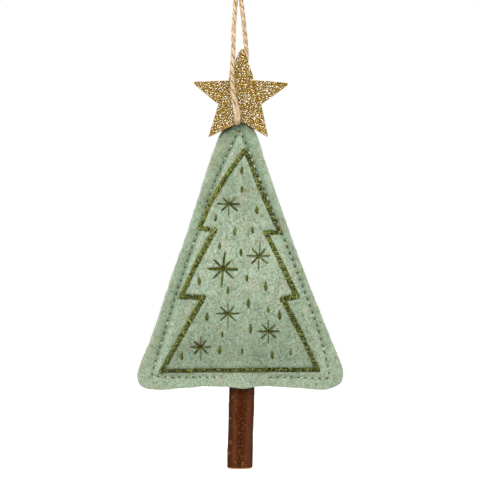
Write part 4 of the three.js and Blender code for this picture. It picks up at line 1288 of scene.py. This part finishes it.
def burst_stitches(index, pixels):
    """A starburst: rays of one, two or three threads, with a tuft of dark threads at the heart that puts
    painted shade where the rays meet.
    """
    rng = np.random.default_rng(140 + index)
    heart, *tips = seen_all(pixels)
    big = index == BIG_BURST
    threads = []
    for i, tip in enumerate(tips):
        way = unit(tip - heart)
        across = across_of(way)
        upright = i in (0, 4) and not big
        pair = (-0.2, 0.2) if big else (-0.15, 0.15)
        for offset in (-0.5, 0, 0.5) if big and i in (2, 6) else (0,) if upright else pair:
            start = heart - way * rng.uniform(0.2, 0.5) + across * (offset * 0.8 + rng.normal(0, 0.04))
            end = tip + way * rng.uniform(-0.1, 0.25) + across * (offset * 0.55)
            tint = rng.uniform(0.25, 0.65) if upright else rng.uniform(0.05, 0.5)
            lift = rng.uniform(0.2, 0.36)
            radius = 0.2 if upright else rng.uniform(0.21, 0.27) * (1 if big else 0.88)
            threads.append((start, end, lift, radius, tint))
    # Dark threads at the heart put painted shade where the rays meet
    for turn in rng.uniform(0, math.pi, 12 if big else 5):
        reach = np.array([math.cos(turn), math.sin(turn)]) * rng.uniform(0.5, 1.1 if big else 0.7)
        middle = heart + (rng.normal(0, 0.35, 2) if big else 0)
        threads.append((middle - reach, middle + reach, 0.42, 0.18 if big else 0.15,
                        rng.uniform(0, 0.15)))
    return few_threads("burst", threads, points=9, bury=0.18)


# How far a seed stitch's threads run past what shows, and each thread's place, length and lift
SEED_OVER = 0.7
SEED_THREADS = ((-0.46, 0.64, 0.2), (-0.22, 0.94, 0.36), (0.04, 1.06, 0.4), (0.3, 0.9, 0.36),
                (0.5, 0.6, 0.2))


def seed_stitches(index, u, v, long):
    """A seed stitch: five threads side by side, the middle ones longer and higher."""
    rng = np.random.default_rng(160 + index)
    top, foot = seen(u, v - long / 2 - SEED_OVER), seen(u, v + long / 2 + SEED_OVER)
    lean = [rng.normal(0, 0.08), 0]
    broad = 1.15 * min(1, (long / 8) ** 1.5)
    threads = []
    for offset, part, lift in SEED_THREADS:
        middle, half = (top + foot) / 2, (top - foot) / 2 * part
        shift = np.array([offset * broad, rng.normal(0, 0.08)])
        threads.append((middle + shift * [0.6, 1] + half + lean, middle + shift - half - lean, lift,
                        OLIVE_THREAD))
    tints = rng.uniform(0.12, 0.62, len(threads))
    return few_threads("seed", [(*thread, tint) for thread, tint in zip(threads, tints)], bury=0.3)


for number, pixels in enumerate(BURSTS, 1):
    dress(f"starburst_threads_{number}", burst_stitches(number, pixels),
          ray_finish, f"starburst_{number}")
for number, (u, v, long) in enumerate(SEEDS, 1):
    dress(f"seed_threads_{number:02d}", seed_stitches(number, u, v, long),
          ray_finish, f"seed_stitch_{number:02d}")

# Fuzz of the felts

FACE_FIBRES, RIM_FIBRES = 2600, 1800
FACE_FUZZ_LENGTHS, RIM_FUZZ_LENGTHS = (1.8, 5.0), (0.3, 0.75)
FACE_FUZZ_RADII, RIM_FUZZ_RADII = (0.018, 0.04), (0.016, 0.028)


def fibre_roots(felt, side, rng):
    """Where a felt's fibres start, which way it faces there, and whether that is its cut edge."""
    mesh = felt.data
    mesh.calc_loop_triangles()
    co = np.zeros(len(mesh.vertices) * 3)
    mesh.vertices.foreach_get("co", co)
    co = co.reshape(-1, 3) / MM
    tris = np.zeros(len(mesh.loop_triangles) * 3, int)
    mesh.loop_triangles.foreach_get("vertices", tris)
    a, b, c = (co[corner] for corner in tris.reshape(-1, 3).T)
    cross = np.cross(b - a, c - a)
    area = np.linalg.norm(cross, axis=1) / 2
    normal = unit(cross)
    centre = (a + b + c) / 3
    face = area * (normal[:, 1] * side > 0.25)
    rim = area * (np.abs(normal[:, 1]) < 0.75) * (to_line(centre[:, [0, 2]], EDGE_LOOP)[0] < 0.6)
    picks = np.concatenate([rng.choice(len(area), count, p=weight / weight.sum())
                            for count, weight in ((FACE_FIBRES, face), (RIM_FIBRES, rim))])
    mix = rng.dirichlet((1, 1, 1), len(picks))
    root = mix[:, :1] * a[picks] + mix[:, 1:2] * b[picks] + mix[:, 2:] * c[picks]
    return root, normal[picks], np.arange(len(picks)) >= FACE_FIBRES


def fuzz_mesh(felt, side):
    """Fine fibres that lie on a felt and stand off its edge."""
    rng = np.random.default_rng(200 + side)
    root, out, on_rim = fibre_roots(felt, side, rng)
    total = len(root)
    way = unit(np.cross(out, rng.normal(size=(total, 3))))
    bend = np.cross(out, way)
    inset = to_line(root[:, [0, 2]], EDGE_LOOP)[0]
    long = np.where(on_rim, rng.uniform(*RIM_FUZZ_LENGTHS, total),
                    np.minimum(rng.uniform(*FACE_FUZZ_LENGTHS, total), inset * 0.8))
    share = np.linspace(0, 1, 5)[None, :, None]
    curl = rng.normal(0, 0.9, (total, 1, 1))
    stand = np.where(on_rim, rng.uniform(0.05, 0.3, total), rng.uniform(0.0, 0.05, total))
    steps = (way[:, None] * share + bend[:, None] * curl * share ** 2 * 0.5
             + out[:, None] * stand[:, None, None] * share) * long[:, None, None]
    lift = out[:, None] * (0.03 + 0.05 * np.sin(share * np.pi))
    radii = np.where(on_rim, rng.uniform(*RIM_FUZZ_RADII, total), rng.uniform(*FACE_FUZZ_RADII, total))
    return lay_tubes("fuzz", root[:, None] + steps + lift, radii[:, None], 3, out[:, None],
                     rng.uniform(0, 1, total))


fuzz_finish = wool_fuzz_finish()
dress("felt_fuzz_front", fuzz_mesh(felt_front, -1), fuzz_finish)
dress("felt_fuzz_back", fuzz_mesh(felt_back, 1), fuzz_finish)

# Star

STAR_HEART = (STAR.max(0) + STAR.min(0)) / 2
STAR_DEPTH = 6.5
BED, BED_INSET, BED_RISE = 0.12, 0.25, 0.12
FLAKE_STEP, FLAKE_INSET, FLAKE_THICK, FLAKE_SHIFT = 0.3, 0.12, 0.05, 0.19
# By how much a flake's tint steps on by column and by row, so that pale flakes lie evenly apart
TINT_STEPS = (0.7549, 0.5698)
WHITE_FLAKE_SIZES, FLAKE_SIZES = (0.18, 0.25), (0.15, 0.22)


def drawn_star(inset):
    """The star's corners drawn in towards its heart."""
    return STAR_HEART + (STAR - STAR_HEART) * (1 - inset / STAR_DEPTH)


def star_plate(name, inset, back, front, edge, rise=0.0):
    """A star cut from a sheet, its edges eased."""
    bm = bmesh.new()
    ring = [bm.verts.new((x * MM, back * MM, z * MM)) for x, z in drawn_star(inset) + [0, rise]]
    made = bmesh.ops.extrude_face_region(bm, geom=[bm.faces.new(ring)])
    lifted = [v for v in made["geom"] if isinstance(v, bmesh.types.BMVert)]
    bmesh.ops.translate(bm, vec=(0, (front - back) * MM, 0), verts=lifted)
    bmesh.ops.recalc_face_normals(bm, faces=bm.faces)
    bmesh.ops.bevel(bm, geom=bm.edges[:], offset=edge * MM, segments=2, profile=0.5, affect="EDGES",
                    material=-1)
    return mesh_from(bm, name)


def inside_star(points, inset):
    flat = drawn_star(inset)
    inside = np.zeros(len(points), bool)
    for a, b in zip(flat, np.roll(flat, -1, axis=0)):
        cross = (a[1] > points[:, 1]) != (b[1] > points[:, 1])
        at = a[0] + (points[:, 1] - a[1]) / (b[1] - a[1] + 1e-12) * (b[0] - a[0])
        inside ^= cross & (points[:, 0] < at)
    return inside


def flakes_mesh():
    """Glitter flakes strewn over the star's front, each tipped its own way, the pale ones on top."""
    rng = np.random.default_rng(300)
    low, high = STAR.min(0), STAR.max(0)
    columns, rows = np.meshgrid(*(np.arange(wide / FLAKE_STEP) for wide in high - low))
    columns, rows = columns.ravel(), rows.ravel()
    spots = low + FLAKE_STEP * np.stack([columns, rows], axis=1)
    spots = spots + rng.uniform(-FLAKE_SHIFT, FLAKE_SHIFT, (len(rows), 2))
    # White and cream flakes are partly painted sparkle, the deepest partly painted dark reflection
    tints = (columns * TINT_STEPS[0] + rows * TINT_STEPS[1] + rng.normal(0, 0.055, len(rows))) % 1
    kept = inside_star(spots, FLAKE_INSET)
    spots, tints = spots[kept], tints[kept]
    count = len(spots)
    pale, white = tints > PALE_FLAKES, tints > WHITE_FLAKES
    tip = rng.normal(0, 1, (count, 2)) * np.where(pale, 0.16, 0.3)[:, None]
    out = unit(np.stack([tip[:, 0], -np.ones(count), tip[:, 1]], axis=1))
    way = unit(np.cross(out, rng.normal(size=(count, 3))))
    side = np.cross(out, way)
    size = np.where(white, rng.uniform(*WHITE_FLAKE_SIZES, count), rng.uniform(*FLAKE_SIZES, count))
    tilt = np.linalg.norm(tip, axis=1)
    tilt_room = size * tilt / np.hypot(1, tilt)
    level = SHEET_FRONT - 0.08 - tilt_room * 0.6 - rng.uniform(0, 0.08, count) - 0.1 * pale
    heart = np.stack([spots[:, 0], level, spots[:, 1]], axis=1)
    template = flake_template()
    flat = template[0]
    face = flat[None, :, :1] * way[:, None] + flat[None, :, 1:2] * side[:, None]
    places = heart[:, None] + size[:, None, None] * face + FLAKE_THICK * flat[None, :, 2:] * out[:, None]
    return repeat("flakes", template, places, tints)


dress("star_card", star_plate("star_card", 0, SHEET_BACK, SHEET_FRONT, 0.07),
      card_finish, "star_base", smooth_faces=False)
dress("glitter_bed", star_plate("glitter_bed", BED_INSET, SHEET_FRONT, SHEET_FRONT - BED, 0.04, BED_RISE),
      glitter_bed_finish, smooth_faces=False)
dress("glitter_flakes", flakes_mesh(), glitter_finish(), "star_glitter_coat",
      smooth_faces=False)

# Twig trunk

TRUNK_COLUMNS, TRUNK_ROWS, BARK_CHIPS = 96, 130, 9
# How high the twig's large knobs, small knobs and grooves stand, and where it is thicker or thinner
KNOB, SMALL_KNOB, BARK_GROOVE = 0.1, 0.05, 0.025
SWELL_LEVELS = [TRUNK_END_Z, -214, -206, -198, FOOT_Z, TRUNK_TOP_Z]
SWELLS = [0.06, 0.12, -0.02, 0.05, 0.0, -0.05]


def trunk_rows():
    """Each ring of the twig: its level and its share of the radius."""
    rim = [(0, 0.0), (0, 0.35), (0, 0.65), (0, 0.84), (0.02, 0.885), (0.1, 0.93), (0.28, 0.968), (0.55, 0.99)]
    rows = [(TRUNK_END_Z + rise, share) for rise, share in rim]
    rows += [(z, 1.0) for z in np.linspace(TRUNK_END_Z + 0.95, TRUNK_TOP_Z - 0.5, TRUNK_ROWS)]
    return np.array(rows + [(TRUNK_TOP_Z, 0.9), (TRUNK_TOP_Z, 0.5), (TRUNK_TOP_Z, 0.0)])


TWIG_ROWS = trunk_rows()


def twig_place(column, row):
    """The twig's places, how chipped its bark is, and where painted shade and painted sheen lie on it."""
    turn = column / TRUNK_COLUMNS * math.tau
    z, share = TWIG_ROWS[row, 0], TWIG_ROWS[row, 1]
    rise = (z - TRUNK_END_Z) / (FOOT_Z - TRUNK_END_Z)
    drift = np.minimum(TRUNK_END_X + rise * (TRUNK_X - TRUNK_END_X), TRUNK_X)
    ring = np.stack([np.cos(turn), np.sin(turn), z / 16], axis=1)
    knobs = KNOB * waves(ring * 5, 5.0, 310) + SMALL_KNOB * waves(ring * [5, 5, 16], 2.2, 311)
    around = np.stack([np.cos(turn) * 5, np.sin(turn) * 5, z / 9], axis=1)
    grooves = BARK_GROOVE * waves(around, 1.3, 312)
    swell = np.interp(z, SWELL_LEVELS, SWELLS)
    radius = TRUNK_RADIUS * share + (knobs + grooves + swell) * np.clip(share * 3 - 2, 0, 1)
    places = np.stack([drift + radius * np.cos(turn), radius * np.sin(turn), z], axis=1)

    # Painted shade darkens the bark where it goes under the felt and along its left side, and greyer stripes
    # down its flanks are painted sheen
    across = np.cos(turn)
    under = 0.8 * smooth((z - (FOOT_Z - 0.3)) / 1.6)
    # Painted sheen: greyer stripes down both flanks
    stripes = 0.9 * np.exp(-((across + 0.48) / 0.24) ** 2) + np.exp(-((across - 0.62) / 0.3) ** 2)
    return places, {"chipped": bark_chips(places), "sheen_stripes": stripes,
                    "shaded": np.maximum(under, 0.5 * smooth((-0.84 - across) / 0.14))}


def bark_chips(places):
    """Spots of bare wood: in front as the picture shows, and at random behind."""
    x, y, z = places.T
    mark = np.zeros(len(places))
    for u, v, size in CHIPS:
        chip_x, chip_z = seen(u, v)
        away = np.hypot((x - chip_x) / 0.8, (z - chip_z) / 1.5) / size
        mark = np.maximum(mark, (1 - smooth(away)) * (y < 0))
    rng = np.random.default_rng(320)
    for _ in range(BARK_CHIPS):
        turn, chip_z = rng.uniform(0.1, 3.0), rng.uniform(TRUNK_END_Z + 1, FOOT_Z - 2)
        chip_x, chip_y = TRUNK_RADIUS * math.cos(turn), TRUNK_RADIUS * math.sin(turn)
        away = np.sqrt((x - chip_x) ** 2 + (y - chip_y) ** 2 + ((z - chip_z) / 1.6) ** 2)
        mark = np.maximum(mark, 1 - smooth(away / rng.uniform(0.5, 1.1)))
    return mark


twig = dress("twig_trunk", grid_mesh("twig", TRUNK_COLUMNS, len(TWIG_ROWS), twig_place),
             bark_finish(), "trunk_stick")
twig.data.materials.append(cut_wood_finish())
BARK_FROM, BARK_TO = TRUNK_END_Z + 0.42, TRUNK_TOP_Z - 0.2
for face in twig.data.polygons:
    if not BARK_FROM <= face.center.z / MM <= BARK_TO:
        face.material_index = 1

# Glue

for node, name in (("trunk_glue", "trunk_glue_dab"), ("star_glue_dab", "star_glue")):
    dress(name, mesh_from(softened(node, 2, 3, 0.4), node), glue_finish, node)

# Floor and light

# The floor's level and half its width, in metres
FLOOR_Z, FLOOR_REACH = -0.30, 4


def backdrop_finish():
    """White to the camera and in reflections, and it keeps the ornament's shadow."""
    finish, w, shader = new_finish("pale_floor", Roughness=0.9, Specular_IOR_Level=0.0,
                                   Base_Color=(0.8, 0.8, 0.8, 1), Emission_Color=(1, 1, 1, 1))
    place = w.node("TexCoord", {}).outputs["Object"]
    spread = w.node("VectorMath", {0: place}, operation="LENGTH").outputs["Value"]
    feed(w, shader, Emission_Strength=w.times(w.seen_white(), w.band(spread, 0.4, 1.3, 0.78, 1.0)))
    return finish


bm = bmesh.new()
bmesh.ops.create_grid(bm, x_segments=1, y_segments=1, size=FLOOR_REACH)
bmesh.ops.translate(bm, vec=(0, 0, FLOOR_Z), verts=bm.verts)
floor = bpy.data.objects.new("pale_floor", mesh_from(bm, "pale_floor"))
bpy.context.scene.collection.objects.link(floor)
floor.data.materials.append(backdrop_finish())

world = bpy.data.worlds.new("soft_studio")
world.use_nodes = True
bpy.context.scene.world = world
sky = Wiring(world.node_tree)
sky.give(world.node_tree.nodes["Background"],
         {"Color": (1, 1, 1, 1), "Strength": sky.band(sky.seen_white(), 0, 1, 0.24, 1.0)})

# Places in metres, widths in metres and powers in watts
TREE_HEART = Vector((0, 0, -0.13))
SOFTBOXES = {"key_box": ((-0.32, -1.25, 1.3), 1.1, 38), "fill_box": ((0.9, -0.8, 0.1), 0.6, 1.2),
             "back_box": ((0.3, 1.0, 0.5), 0.6, 2.6)}
for name, (place, width, power) in SOFTBOXES.items():
    light = bpy.data.lights.new(name, "AREA")
    light.shape, light.size, light.size_y, light.energy = "RECTANGLE", width, width, power
    lamp = bpy.data.objects.new(name, light)
    bpy.context.scene.collection.objects.link(lamp)
    lamp.location = place
    lamp.rotation_euler = (TREE_HEART - Vector(place)).to_track_quat("-Z", "Y").to_euler()
